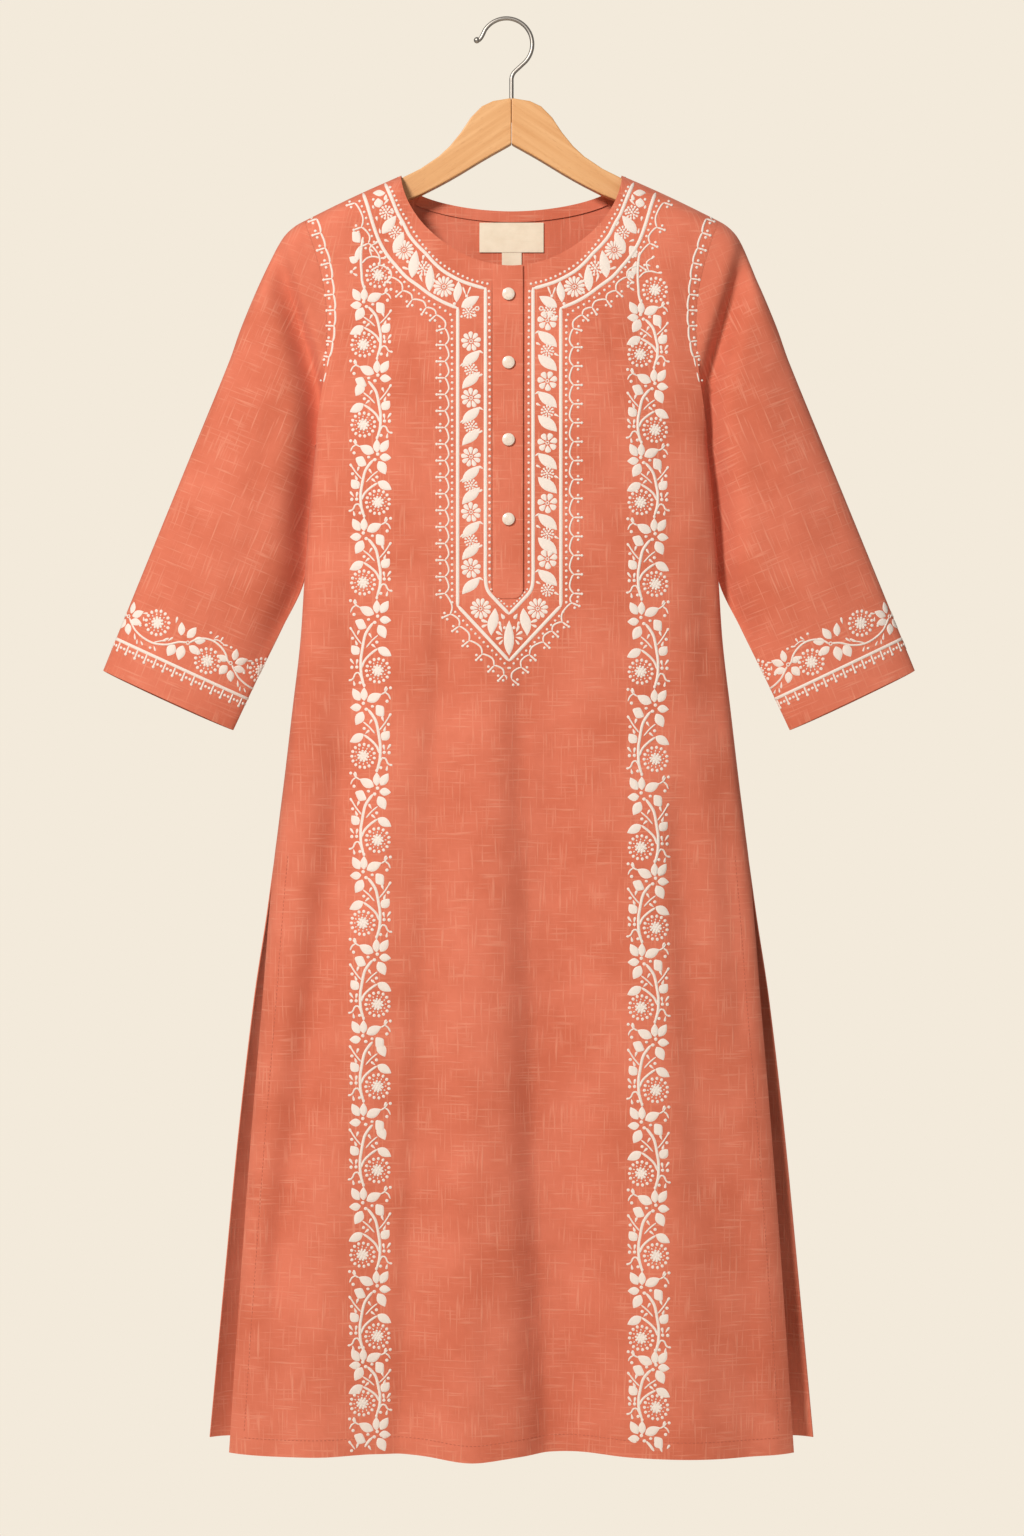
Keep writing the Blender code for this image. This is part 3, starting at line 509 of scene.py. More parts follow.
def face_centres(item):
    centres = np.empty(len(item.data.polygons) * 3)
    item.data.polygons.foreach_get("center", centres)
    return centres.reshape(-1, 3) / MM


def make_front():
    columns = panel_columns((PLACKET_LEFT, PLACKET_RIGHT))
    drops = panel_drops(FRONT_HEM, SLOT_END)
    x, z = panel_places(columns, drops, FRONT_NECK_DEPTH, BODY["front_half"], FRONT_HEM, FRONT_HEM_WAVE)
    points = front_surface(x, z)
    item = cloth_grid("front_cloth", points, arc_places(points, len(columns) // 2))
    centre = face_centres(item)
    in_slot = (centre[:, 0] > PLACKET_LEFT) & (centre[:, 0] < PLACKET_RIGHT) & (centre[:, 2] > SLOT_END)
    delete_faces(item, in_slot)
    thicken(item, CLOTH_WALL)
    return item


def make_back():
    columns = panel_columns(())
    drops = panel_drops(BACK_HEM, SLOT_END)
    x, z = panel_places(columns, drops, BACK_NECK_DEPTH, BODY["back_half"], BACK_HEM, BACK_HEM_WAVE)
    points = np.stack([x, back_y(x, z), z], axis=-1)[:, ::-1]
    item = cloth_grid("back_cloth", points, arc_places(points, len(columns) // 2))
    thicken(item, CLOTH_WALL)
    return item


# Sleeves

def along_edge(edge, share):
    """Point of a sleeve's edge at a share of its length."""
    places = np.array(edge)
    run = np.concatenate([[0.0], np.cumsum(np.hypot(*np.diff(places, axis=0).T))])
    at = np.asarray(share) * run[-1]
    return smooth(list(zip(run, places[:, 0])), at), smooth(list(zip(run, places[:, 1])), at)


def sleeve_profile(share_down):
    """Depth of the flat sleeve from its outer edge to its inner edge, gentler at the inner one."""
    hump = np.maximum(1.0 - (1.0 - 2.0 * share_down) ** 2, 0.0)
    return hump ** np.where(share_down < 0.5, 0.45, 0.7)


def armhole_point(share_down, back):
    """The seam line on the body, from the shoulder to the underarm."""
    level = shoulder_height(SHOULDER_HALF) - ARMHOLE_REACH * share_down
    reach = smooth(BODY["front_half"], level)
    depth = np.where(back, back_y(reach, level), front_y(reach, level))
    inside = (share_down > 0.0) & (share_down < 1.0)
    return reach + SLEEVE_SEAM, np.where(inside, depth, 0.0), level


def plain_sleeve_point(share, share_down, back, nearer):
    """The sleeve as a flattened tube between its two edges, the outer one drawn in by nearer."""
    outer = along_edge(SLEEVE_OUTER, share)
    inner = along_edge(SLEEVE_INNER, share)
    outer_reach = outer[0] - nearer * np.minimum(share / RIGHT_SLEEVE_NEARER_FROM, 1.0)
    reach = outer_reach + (inner[0] - outer_reach) * share_down
    level = outer[1] + (inner[1] - outer[1]) * share_down
    front = smooth(SLEEVE["front_depth"], share) - crease_depth(SLEEVE_FRONT_CREASES, reach, level)
    rear = smooth(SLEEVE["back_depth"], share) - crease_depth(SLEEVE_BACK_CREASES, reach, level)
    depth = np.where(back, rear, -front)
    return reach, depth * sleeve_profile(share_down), level


def fold_taken(reach, level):
    """Share of a sleeve's depth that the fold beside the body takes."""
    away = reach - smooth(SLEEVE_VALLEY["reach"], level)
    width = np.where(away > 0.0, SLEEVE_FOLD_OUT, SLEEVE_FOLD_IN)
    return smooth(SLEEVE_VALLEY["share"], level) * np.exp(-(away / width) ** 2)


def sleeve_point(share, share_down, back, nearer):
    """Points of the sleeve at +x: share of its length, and share of its width from the outer edge."""
    plain = plain_sleeve_point(share, share_down, back, nearer)
    start = plain_sleeve_point(np.zeros_like(share), share_down, back, nearer)
    seam = armhole_point(share_down, back)
    near = np.maximum(1.0 - share / ARMHOLE_FADE, 0.0) ** 2
    reach, depth, level = (p + (s - b) * near for p, s, b in zip(plain, seam, start))
    taken = fold_taken(reach, level) * np.minimum(share / SLEEVE_FOLD_START, 1.0)
    depth = depth * (1.0 - taken * np.where(back, SLEEVE_FOLD_ON_BACK, 1.0))
    from_edge = np.maximum(reach - smooth(SLEEVE_VALLEY["reach"], level), 0.0)
    depth = depth + smooth(SLEEVE_TUCK, level) * np.exp(-(from_edge / SLEEVE_TUCK_REACH) ** 2)
    past = np.clip((share - CUFF_BACK_FROM) / (1.0 - CUFF_BACK_FROM), 0.0, 1.0)
    level = level - np.where(back, CUFF_BACK_EXTRA * sleeve_profile(share_down) * past, 0.0)
    return np.stack(np.broadcast_arrays(reach, depth, level), axis=-1)


def sleeve_ring(steps):
    """Shares down the sleeve's width round the ring, and which of them are on the back."""
    turn = np.linspace(0.0, math.pi, steps + 1)
    down = (1.0 - np.cos(turn)) / 2.0
    share_down = np.concatenate([down, down[-2::-1]])
    back = np.arange(len(share_down)) > steps
    return share_down, back


def sleeve_axis():
    """Direction of the cloth's length in a sleeve: along its outer edge."""
    run_x, run_z = SLEEVE_OUTER[-1][0] - SLEEVE_OUTER[3][0], SLEEVE_OUTER[-1][1] - SLEEVE_OUTER[3][1]
    return run_x / math.hypot(run_x, run_z), run_z / math.hypot(run_x, run_z)


def make_sleeve(name, side):
    share_down, back = sleeve_ring(34)
    shares = (np.linspace(1.0, 0.0, 70) ** 1.2)[:, None]
    nearer = RIGHT_SLEEVE_NEARER if side > 0 else 0.0
    points = sleeve_point(shares + 0.0 * share_down[None, :], share_down[None, :], back[None, :], nearer)
    down_x, down_z = sleeve_axis()
    off_x, off_z = points[:, :, 0] - SLEEVE_OUTER[0][0], points[:, :, 2] - SLEEVE_OUTER[0][1]
    inwards = off_x * down_z - off_z * down_x
    upwards = -off_x * down_x - off_z * down_z
    places = np.stack([np.where(back[None, :], inwards, -inwards), upwards], axis=-1)
    points[:, :, 0] *= side
    if side > 0:
        points, places = points[:, ::-1], places[:, ::-1]
    item = cloth_grid(name, points, places.reshape(-1, 2))
    pick(item)
    bpy.ops.object.mode_set(mode="EDIT")
    bpy.ops.mesh.select_all(action="SELECT")
    bpy.ops.mesh.remove_doubles(threshold=1e-6)
    bpy.ops.mesh.normals_make_consistent(inside=False)
    bpy.ops.object.mode_set(mode="OBJECT")
    thicken(item, CLOTH_WALL)
    return item


# Placket, buttons, facing and labels

def slot_inset(height, corner):
    """How far a rounded lower corner draws the edge in, at a height above the end."""
    low = np.maximum(corner - height, 0.0)
    return corner - np.sqrt(np.maximum(corner ** 2 - low ** 2, 0.0))


def strip_points(left, right, end, corner, out, edge_drop):
    """A placket strip on the front's own points, moved out, with rounded lower corners."""
    across = np.array([-1.0, -0.975, -0.93, -0.86, -0.6, -0.3, 0.0, 0.3, 0.6, 0.86, 0.93, 0.975, 1.0])
    rise = np.concatenate([corner * (1.0 - np.cos(np.linspace(0.0, math.pi / 2, 7))), [corner + 4.0]])
    top = NECK_TOP - FRONT_NECK_DEPTH
    levels = np.concatenate([end + rise, np.linspace(end + corner + 8.0, top, 64)])[:, None]
    middle, half = (left + right) / 2.0, (right - left) / 2.0
    x = middle + across[None, :] * (half - slot_inset(levels - end, corner))
    share = (levels - end) / (top - end)
    z = levels + (neck_level(x, FRONT_NECK_DEPTH) - top) * share
    beside = np.clip((np.abs(across)[None, :] - STRIP_EDGE_FROM) / (1.0 - STRIP_EDGE_FROM), 0.0, 1.0)
    below = np.clip(1.0 - (levels - end) / STRIP_END_ROUND, 0.0, 1.0)
    dropped = edge_drop * np.maximum(beside, below) ** 2
    return np.stack([x, front_y(x, z) - out + dropped, z], axis=-1)


def make_strip(name, left, right, end, corner, out, edge_drop):
    points = strip_points(left, right, end, corner, out, edge_drop)
    item = cloth_grid(name, points, arc_places(points, points.shape[1] // 2))
    thicken(item, STRIP_WALL)
    return item


def make_button(number, level):
    """A low turned dome with a rim and a small dish behind the rim."""
    half = BUTTON_ACROSS / 2.0
    deselect()
    bpy.ops.mesh.primitive_uv_sphere_add(segments=40, ring_count=24, radius=1.0)
    item = bpy.context.object
    item.name = item.data.name = "pearl_button_%d" % number
    count = len(item.data.vertices)
    ball = np.empty(count * 3)
    item.data.vertices.foreach_get("co", ball)
    ball = ball.reshape(-1, 3)
    radius = np.hypot(ball[:, 0], ball[:, 1])
    flat = np.sign(ball[:, 2]) * np.abs(ball[:, 2]) ** BUTTON_FULLNESS
    ring = GROOVE_DEPTH * np.exp(-((radius - GROOVE_AT) / GROOVE_HALF) ** 2)
    groove = np.where(ball[:, 2] > 0.0, ring, 0.0)
    depth = flat * BUTTON_THICK / 2.0 - groove
    sides = (-BUTTON_SEAT_HALF, BUTTON_SEAT_HALF)
    nearest = min(float(front_y(BUTTON_X + dx, level + dz)) for dx in sides for dz in sides)
    out = nearest - BUTTON_OUT - BUTTON_THICK / 2.0
    points = np.stack([BUTTON_X + ball[:, 0] * half, out - depth, level + ball[:, 1] * half], axis=-1)
    item.data.vertices.foreach_set("co", (points * MM).ravel())
    item.data.update()
    bpy.ops.object.shade_smooth()
    return item


def inner_back(x, z, lift):
    """A place on the inner face of the back, lifted off it towards the front."""
    return np.stack(np.broadcast_arrays(x, back_y(x, z) - CLOTH_SOLID - lift, z), axis=-1)


def make_facing():
    """A narrow curved strip on the inner face of the back, just under its neckline."""
    x0 = np.linspace(-1.0, 1.0, 73)[None, :] * FACING_SHARE * NECK_HALF
    share = np.linspace(1.0, 0.0, 8)[:, None]
    z0 = neck_level(x0, BACK_NECK_DEPTH)
    ahead = neck_level(x0 + 0.5, BACK_NECK_DEPTH) - neck_level(x0 - 0.5, BACK_NECK_DEPTH)
    length = np.hypot(1.0, ahead)
    x = x0 + share * FACING_WIDTH * ahead / length
    z = z0 - share * FACING_WIDTH / length
    points = inner_back(x, z, LINING_GAP)[:, ::-1]
    item = cloth_grid("neck_facing", points, arc_places(points, 36))
    thicken(item, TAPE_WALL)
    return item


def make_patch(name, middle, top, size):
    """A small rectangle of tape on the inner face of the back."""
    width, height = size
    across = np.linspace(-1.0, 1.0, 33)[None, :]
    down = np.linspace(1.0, 0.0, 19)[:, None]
    x = middle + across * width / 2.0 + 0.0 * down
    z = top - down * height + 0.0 * across
    points = inner_back(x, z, LINING_GAP)[:, ::-1]
    item = cloth_grid(name, points, arc_places(points, 16))
    thicken(item, TAPE_WALL)
    return item


# Hook

def bend(start, corner, end, steps):
    """Points of a round bend that leaves start for the corner and arrives at end."""
    points = []
    for i in range(steps + 1):
        t = i / steps
        points.append(tuple(
            (1 - t) ** 2 * a + 2 * t * (1 - t) * b + t * t * c for a, b, c in zip(start, corner, end)
        ))
    return points


def hook_route():
    """Middle line of the wire, as x and z: flared tip, loop, straight run, bend, stem."""
    inner = HOOK_RADIUS - WIRE / 2.0
    centre_z = -math.sqrt(inner ** 2 - HOOK_CENTRE_X ** 2)
    steps = 60
    loop = []
    for i in range(steps + 1):
        turn = math.radians(HOOK_TIP_ANGLE + (HOOK_FOOT_ANGLE - HOOK_TIP_ANGLE) * i / steps)
        loop.append((HOOK_CENTRE_X + HOOK_RADIUS * math.cos(turn), centre_z + HOOK_RADIUS * math.sin(turn)))
    flare = [(loop[0][0] + dx, loop[0][1] + dz) for dx, dz in HOOK_FLARE]
    foot_x, foot_z = loop[-1]
    corner = (0.0, HOOK_BEND_LEVEL)
    run = math.hypot(foot_x, foot_z - HOOK_BEND_LEVEL)
    share = HOOK_BEND_REACH / run
    before = (foot_x * share, HOOK_BEND_LEVEL + (foot_z - HOOK_BEND_LEVEL) * share)
    after = (0.0, HOOK_BEND_LEVEL - HOOK_BEND_REACH)
    stem_end = (0.0, STEM_TOP_IN_WOOD - HOOK_IN_WOOD + 1.0)
    return flare + loop + bend(before, corner, after, 12) + [stem_end]


def make_hook():
    """Bent wire with a small ball at its tip."""
    route = hook_route()
    curve = bpy.data.curves.new("hook_wire", "CURVE")
    curve.dimensions = "3D"
    curve.bevel_depth = WIRE / 2.0 * MM
    curve.bevel_resolution = 6
    curve.use_fill_caps = True
    spline = curve.splines.new("POLY")
    spline.points.add(len(route) - 1)
    for point, (x, z) in zip(spline.points, route):
        point.co = (x * MM, 0.0, z * MM, 1.0)
    wire = bpy.data.objects.new("hook_wire", curve)
    bpy.context.scene.collection.objects.link(wire)
    pick(wire)
    bpy.ops.object.convert(target="MESH")
    wire = bpy.context.object
    deselect()
    bpy.ops.mesh.primitive_uv_sphere_add(
        segments=24, ring_count=14, radius=HOOK_BALL / 2.0 * MM,
        location=(route[0][0] * MM, 0.0, route[0][1] * MM),
    )
    ball = bpy.context.object
    bpy.ops.object.transform_apply(location=True, rotation=True, scale=True)
    ball.select_set(True)
    wire.select_set(True)
    bpy.context.view_layer.objects.active = wire
    bpy.ops.object.join()
    bpy.ops.object.shade_smooth_by_angle(angle=math.radians(50.0))
    wire.name = wire.data.name = "hook_wire"
    return wire


# Embroidery: templates are modelled once, and their copies are laid on the cloth's own surface.
# A template runs from -1 to 1 along and across, and from its sunk underside to 1 in height.

SUNK = 0.35
STEP = 0.4


def primitive_points(add):
    """Points and faces of a primitive that is deleted again."""
    deselect()
    add()
    item = bpy.context.object
    points = np.array([vertex.co[:] for vertex in item.data.vertices])
    faces = [tuple(face.vertices) for face in item.data.polygons]
    mesh = item.data
    bpy.data.objects.remove(item, do_unlink=True)
    bpy.data.meshes.remove(mesh)
    return points, faces


def flattened(points):
    """Keeps the upper half and draws the under side up."""
    points = points.copy()
    points[:, 2] = np.where(points[:, 2] > 0.0, points[:, 2], points[:, 2] * 0.25)
    return points


def make_templates():
    dot, dot_faces = primitive_points(lambda: bpy.ops.mesh.primitive_uv_sphere_add(segments=7, ring_count=5))
    ball, ball_faces = primitive_points(
        lambda: bpy.ops.mesh.primitive_uv_sphere_add(segments=10, ring_count=10)
    )
    ring, ring_faces = primitive_points(
        lambda: bpy.ops.mesh.primitive_torus_add(
            major_segments=14, minor_segments=5, major_radius=0.7, minor_radius=0.3
        )
    )
    ring[:, 2] = ring[:, 2] / 0.3
    # the poles of the ball become the two ends of a leaf
    body = np.stack([ball[:, 2], ball[:, 1], -ball[:, 0]], axis=-1)
    slim = np.sqrt(np.maximum(1.0 - body[:, 0] ** 2, 0.0))
    leaf = body.copy()
    leaf[:, 1] *= (0.14 + 0.9 * slim) * (1.06 - 0.24 * body[:, 0])
    petal = body.copy()
    petal[:, 1] *= 0.72 + 0.42 * body[:, 0]
    block = body.copy()
    block[:, 0] = np.sign(body[:, 0]) * np.abs(body[:, 0]) ** 0.4
    block[:, 1] = np.sign(body[:, 1]) * np.abs(body[:, 1]) ** 0.55 + 0.25 * block[:, 0]
    pointed = body.copy()
    pointed[:, 1] *= 0.1 + 0.92 * slim
    pointed[:, 1] += 0.42 * body[:, 0] ** 3
    return {
        "dot": (flattened(dot), dot_faces),
        "ring": (flattened(ring), ring_faces),
        "leaf": (flattened(leaf), ball_faces),
        "petal": (flattened(petal), ball_faces),
        "block": (flattened(block), ball_faces),
        "pointed": (flattened(pointed), ball_faces),
    }


def lay_on(surface, u, v, rise):
    """Points over a surface: its own place plus a rise along its normal."""
    along = surface(u + STEP, v) - surface(u - STEP, v)
    up = surface(u, v + STEP) - surface(u, v - STEP)
    normal = np.cross(along, up)
    normal /= np.linalg.norm(normal, axis=-1, keepdims=True)
    return surface(u, v) + normal * rise[..., None]


def lay_marks(template, marks, surface):
    """Copies of one template. A mark is u, v, turn, half length, half width, height."""
    points, faces = template
    rows = np.array(marks, dtype=float)
    u0, v0, turn, half_length, half_width, height = (rows[:, i, None] for i in range(6))
    along = points[None, :, 0] * half_length
    across = points[None, :, 1] * half_width
    u = u0 + along * np.cos(turn) - across * np.sin(turn)
    v = v0 + along * np.sin(turn) + across * np.cos(turn)
    places = lay_on(surface, u, v, points[None, :, 2] * height - SUNK * (points[None, :, 2] < 0.0))
    count = len(points)
    copies = [tuple(i + number * count for i in face) for number in range(len(rows)) for face in faces]
    flat = np.stack([along, across], axis=-1)
    return places.reshape(-1, 3), copies, flat.reshape(-1, 2)


LINE_SECTION = ((-1.0, 0.0), (-0.72, 0.7), (0.0, 1.0), (0.72, 0.7), (1.0, 0.0))


def even_run(path, step):
    """Even points along a smooth path, with their headings and runs."""
    places = np.array(path, dtype=float)
    run = np.concatenate([[0.0], np.cumsum(np.hypot(*np.diff(places, axis=0).T))])
    at = np.linspace(0.0, run[-1], max(int(round(run[-1] / step)), 2) + 1)
    u = smooth(list(zip(run, places[:, 0])), at)
    v = smooth(list(zip(run, places[:, 1])), at)
    return u, v, np.arctan2(np.gradient(v), np.gradient(u)), at


def lay_line(line, surface):
    """A raised line of stitches along a path, drawn in at both ends."""
    path, width, height = line
    u0, v0, heading, run = even_run(path, 1.7)
    end = np.minimum(run, run[-1] - run)
    taper = 0.45 + 0.55 * np.clip(end / (0.8 * width), 0.0, 1.0)
    section = np.array(LINE_SECTION)
    across = section[None, :, 0] * (width / 2.0 * taper)[:, None]
    u = u0[:, None] - across * np.sin(heading)[:, None]
    v = v0[:, None] + across * np.cos(heading)[:, None]
    rise = section[None, :, 1] * height * taper[:, None]
    rise = np.where(section[None, :, 1] > 0.0, rise, -SUNK)
    places = lay_on(surface, u, v, rise)
    sides = len(section)
    faces = [tuple(range(sides))]
    faces.append(tuple((len(u0) - 1) * sides + i for i in range(sides)))
    for row in range(len(u0) - 1):
        for i in range(sides):
            a, b = row * sides + i, row * sides + (i + 1) % sides
            faces.append((a, b, b + sides, a + sides))
    flat = np.stack([np.broadcast_to(run[:, None], across.shape), across], axis=-1)
    return places.reshape(-1, 3), faces, flat.reshape(-1, 2)


def make_embroidery(name, work, surface, side=1.0):
    """One piece from all marks and lines of a group; side -1 mirrors it to -x."""
    parts = [lay_marks(TEMPLATES[kind], marks, surface) for kind, marks in work["marks"].items() if marks]
    parts += [lay_line(line, surface) for line in work["lines"]]
    places, faces, flat, count = [], [], [], 0
    for part_places, part_faces, part_flat in parts:
        places.append(part_places)
        faces += [tuple(i + count for i in face) for face in part_faces]
        flat.append(part_flat)
        count += len(part_places)
    places = np.concatenate(places) * (side, 1.0, 1.0)
    mesh = bpy.data.meshes.new(name)
    mesh.from_pydata((places * MM).tolist(), [], faces)
    item = bpy.data.objects.new(name, mesh)
    bpy.context.scene.collection.objects.link(item)
    set_uv(item, np.concatenate(flat))
    pick(item)
    bpy.ops.object.mode_set(mode="EDIT")
    bpy.ops.mesh.select_all(action="SELECT")
    bpy.ops.mesh.normals_make_consistent(inside=False)
    bpy.ops.object.mode_set(mode="OBJECT")
    bpy.ops.object.shade_smooth_by_angle(angle=math.radians(60.0))
    return item


def new_work():
    return {"marks": {kind: [] for kind in TEMPLATES}, "lines": []}


DOT_RISE = 0.55
LEAF_RISE = 0.38
LINE_RISE = 0.5


def add_dot(work, u, v, across):
    work["marks"]["dot"].append((u, v, 0.0, across / 2.0, across / 2.0, DOT_RISE))


def add_mark(work, kind, u, v, turn, length, width):
    rise = DOT_RISE if kind in ("dot", "ring") else LEAF_RISE
    work["marks"][kind].append((u, v, turn, length / 2.0, width / 2.0, rise))


def add_line(work, path, width):
    work["lines"].append((path, width, min(LINE_RISE, 0.5 * width)))


def chart(origin, flip=1.0, turn=0.0, size=1.0):
    """Turns places and directions of a chart into those on the cloth."""
    def place(x, y):
        x, y = x * flip * size, y * size
        return (
            origin[0] + x * math.cos(turn) - y * math.sin(turn),
            origin[1] + x * math.sin(turn) + y * math.cos(turn),
        )

    def heading(degrees):
        angle = math.radians(degrees)
        return (angle if flip > 0.0 else math.pi - angle) + turn

    return place, heading


def lay_chart(work, marks, lines, where):
    """Adds the chart's marks and lines. A mark is kind, x, y, degrees, length, width."""
    place, heading = where
    for kind, x, y, degrees, length, width in marks:
        u, v = place(x, y)
        add_mark(work, kind, u, v, heading(degrees), length, width)
    for width, path in lines:
        add_line(work, [place(x, y) for x, y in path], width)


# A rosette's rings from its middle out: count, share of the radius, length and width as shares of it
ROSETTE_RINGS = (
    (1, 0.0, 0.42, 0.42), (6, 0.23, 0.34, 0.3), (10, 0.4, 0.24, 0.22), (12, 0.64, 0.18, 0.12),
    (15, 0.92, 0.29, 0.26),
)
DAISY_LENGTH = 0.76
DAISY_WIDTH = 1.34


def add_rosette(work, u, v, radius):
    """A rough core of knots, thin short rays, and a ring of dots."""
    for count, share, length, width in ROSETTE_RINGS:
        for i in range(count):
            angle = 2.0 * math.pi * (i + 0.17 * count) / count
            place = (u + share * radius * math.cos(angle), v + share * radius * math.sin(angle))
            add_mark(work, "dot", *place, angle, length * radius, width * radius)


def add_daisy(work, u, v, radius, petals):
    """Fat petals round a small ring."""
    for i in range(petals):
        angle = 2.0 * math.pi * (i + 0.3) / petals
        reach = 0.64 * radius
        width = DAISY_WIDTH * 2.0 * math.pi * reach / petals
        place = (u + reach * math.cos(angle), v + reach * math.sin(angle))
        add_mark(work, "petal", *place, angle, DAISY_LENGTH * radius, width)
    add_mark(work, "ring", u, v, 0.0, 0.42 * radius, 0.42 * radius)


def add_dots_along(work, path, pitch, across):
    u, v, _, _ = even_run(path, pitch)
    for i in range(len(u)):
        add_dot(work, u[i], v[i], across)


CROSS_LINE = 1.9
# a scallop between two cusps: share of the way, share of the bulge
SCALLOP = ((0.0, 0.0), (0.1, 0.36), (0.3, 0.74), (0.5, 0.96), (0.66, 1.0), (0.84, 0.66), (1.0, 0.0))


def add_crosses(work, places, out, bar, spread, across):
    """Short bars that stand off a row of places, each with a knob and a dot on both sides."""
    run = np.array(places, dtype=float)
    heading = np.arctan2(np.gradient(run[:, 1]), np.gradient(run[:, 0]))
    for (u, v), along in zip(run, heading):
        away = along + out * math.pi / 2
        du, dv = math.cos(away), math.sin(away)
        add_line(work, [(u, v), (u + du * bar, v + dv * bar)], CROSS_LINE)
        add_dot(work, u + du * bar, v + dv * bar, across)
        for sign in (-1.0, 1.0):
            du_dot = du * bar * 0.55 + sign * spread * math.cos(along)
            dv_dot = dv * bar * 0.55 + sign * spread * math.sin(along)
            add_dot(work, u + du_dot, v + dv_dot, across)


def add_scallops(work, cusps, out, bulge, width):
    """Shallow arcs from cusp to cusp, bulging away from the bars."""
    for (u0, v0), (u1, v1) in zip(cusps, cusps[1:]):
        length = math.hypot(u1 - u0, v1 - v0)
        away = math.atan2(v1 - v0, u1 - u0) - out * math.pi / 2
        reach = bulge * min(length / 14.0, 1.0)
        points = []
        for share, part in SCALLOP:
            points.append((
                u0 + (u1 - u0) * share + reach * part * math.cos(away),
                v0 + (v1 - v0) * share + reach * part * math.sin(away),
            ))
        add_line(work, points, width)


# Vine bands. A rosette is a level and a side of the band's middle; the charts below are for one on the
# right: the cluster of leaves under it, and the stem that leads round the next one on the left.
LEFT_VINE = {
    "middle": -125.6,
    "rosettes": (
        (-232.2, 1), (-294.3, -1), (-365.9, -1), (-435.4, 1), (-507.0, -1), (-585.5, 1), (-661.6, -1),
        (-736.4, 1), (-810.1, -1), (-882.2, 1), (-955.1, 1), (-1029.5, 1), (-1104.3, -1), (-1176.6, 1),
        (-1236.1, -1),
    ),
}
RIGHT_VINE = {
    "middle": 121.6,
    "rosettes": (
        (-245.2, 1), (-303.2, -1), (-370.7, 1), (-435.7, -1), (-508.4, 1), (-586.6, -1), (-664.3, 1),
        (-742.9, -1), (-814.2, 1), (-884.9, -1), (-958.0, 1), (-1032.0, -1), (-1104.8, 1), (-1177.8, -1),
        (-1238.8, 1),
    ),
}
VINE_PITCH = 72.6
VINE_LAST_DROP = 66.0
ROSETTE_REACH = 11.2
ROSETTE_OFF = 6.6
CLUSTER_MARKS = (
    ("dot", -5.7, -12.6, 90, 3.6, 2.8),
    ("leaf", -5.7, -20.0, 90, 12.0, 6.4),
    ("leaf", -12.7, -20.3, 122, 12.8, 7.2),
    ("leaf", 3.4, -23.1, 27, 14.6, 8.0),
    ("leaf", -13.3, -31.1, 184, 10.4, 6.8),
    ("dot", -6.4, -27.8, 0, 3.4, 3.4),
    ("dot", -3.8, -32.9, 0, 3.6, 3.2),
    ("dot", 1.8, -30.5, 0, 3.2, 2.8),
    ("block", 8.7, -34.3, 78, 9.6, 8.2),
    ("dot", 14.9, -26.2, 0, 3.2, 3.2),
    ("petal", 13.4, -15.6, 60, 4.8, 2.8),
    ("dot", 18.0, -14.8, 0, 3.0, 3.0),
)
CLUSTER_LINES = (
    (1.7, ((9.4, -20.6), (13.1, -18.4), (15.6, -15.0))),
    (1.7, ((13.1, -18.6), (16.2, -20.7), (18.0, -24.6))),
)
STEM_MARKS = (
    ("leaf", -10.2, -40.6, -118, 13.4, 8.2),
    ("petal", 0.2, -43.6, 60, 5.0, 2.8),
    ("dot", -5.7, -49.2, 0, 3.2, 3.0),
    ("petal", -2.8, -52.2, 40, 5.0, 2.8),
    ("leaf", -12.6, -57.4, -150, 14.4, 7.6),
    ("petal", 11.1, -41.2, 110, 4.8, 3.0),
    ("dot", 16.2, -45.8, 0, 3.2, 3.0),
    ("petal", 12.9, -49.6, -110, 4.8, 3.0),
    ("petal", 17.3, -38.3, 56, 4.6, 3.0),
    ("leaf", 13.8, -55.4, 50, 10.4, 8.0),
    ("petal", 12.2, -65.4, 100, 5.2, 3.0),
    ("petal", 16.6, -64.9, 55, 6.0, 2.8),
    ("dot", 12.4, -69.6, 0, 3.2, 3.2),
    ("dot", 16.8, -69.8, 0, 3.2, 3.4),
    ("dot", 9.4, -82.6, 0, 3.0, 3.0),
    ("petal", 14.8, -83.0, -100, 4.8, 2.8),
    ("petal", 17.6, -80.2, -10, 4.4, 2.6),
)
STEM_LINES = (
    (2.9, ((-2.2, -33.2), (1.1, -37.1), (4.6, -42.5), (6.2, -48.0), (7.8, -56.7), (8.8, -63.1),
           (8.8, -71.5), (8.2, -77.0), (6.8, -82.4), (5.7, -85.6))),
    (1.6, ((-6.5, -43.6), (-1.1, -48.0), (3.8, -53.4))),
    (2.4, ((-6.2, -54.6), (0.0, -58.9), (5.4, -64.3), (8.0, -70.4))),
    (1.6, ((8.2, -50.6), (13.1, -44.7), (17.2, -38.4))),
    (1.8, ((7.9, -80.0), (9.0, -77.0), (10.9, -74.3), (13.6, -74.9), (15.6, -79.0), (18.0, -80.6))),
)
VINE_HEAD_LINES = (
    (2.6, ((-7.0, 34.0), (-8.6, 22.0), (-8.8, 10.0), (-8.2, 1.1), (-7.9, -4.4), (-6.6, -9.8),
           (-5.7, -13.0))),
    (1.8, ((-8.0, 10.5), (-3.0, 15.4), (3.0, 16.6), (9.0, 15.0))),
    (1.6, ((1.0, 17.0), (-1.0, 24.0), (3.0, 28.0))),
)
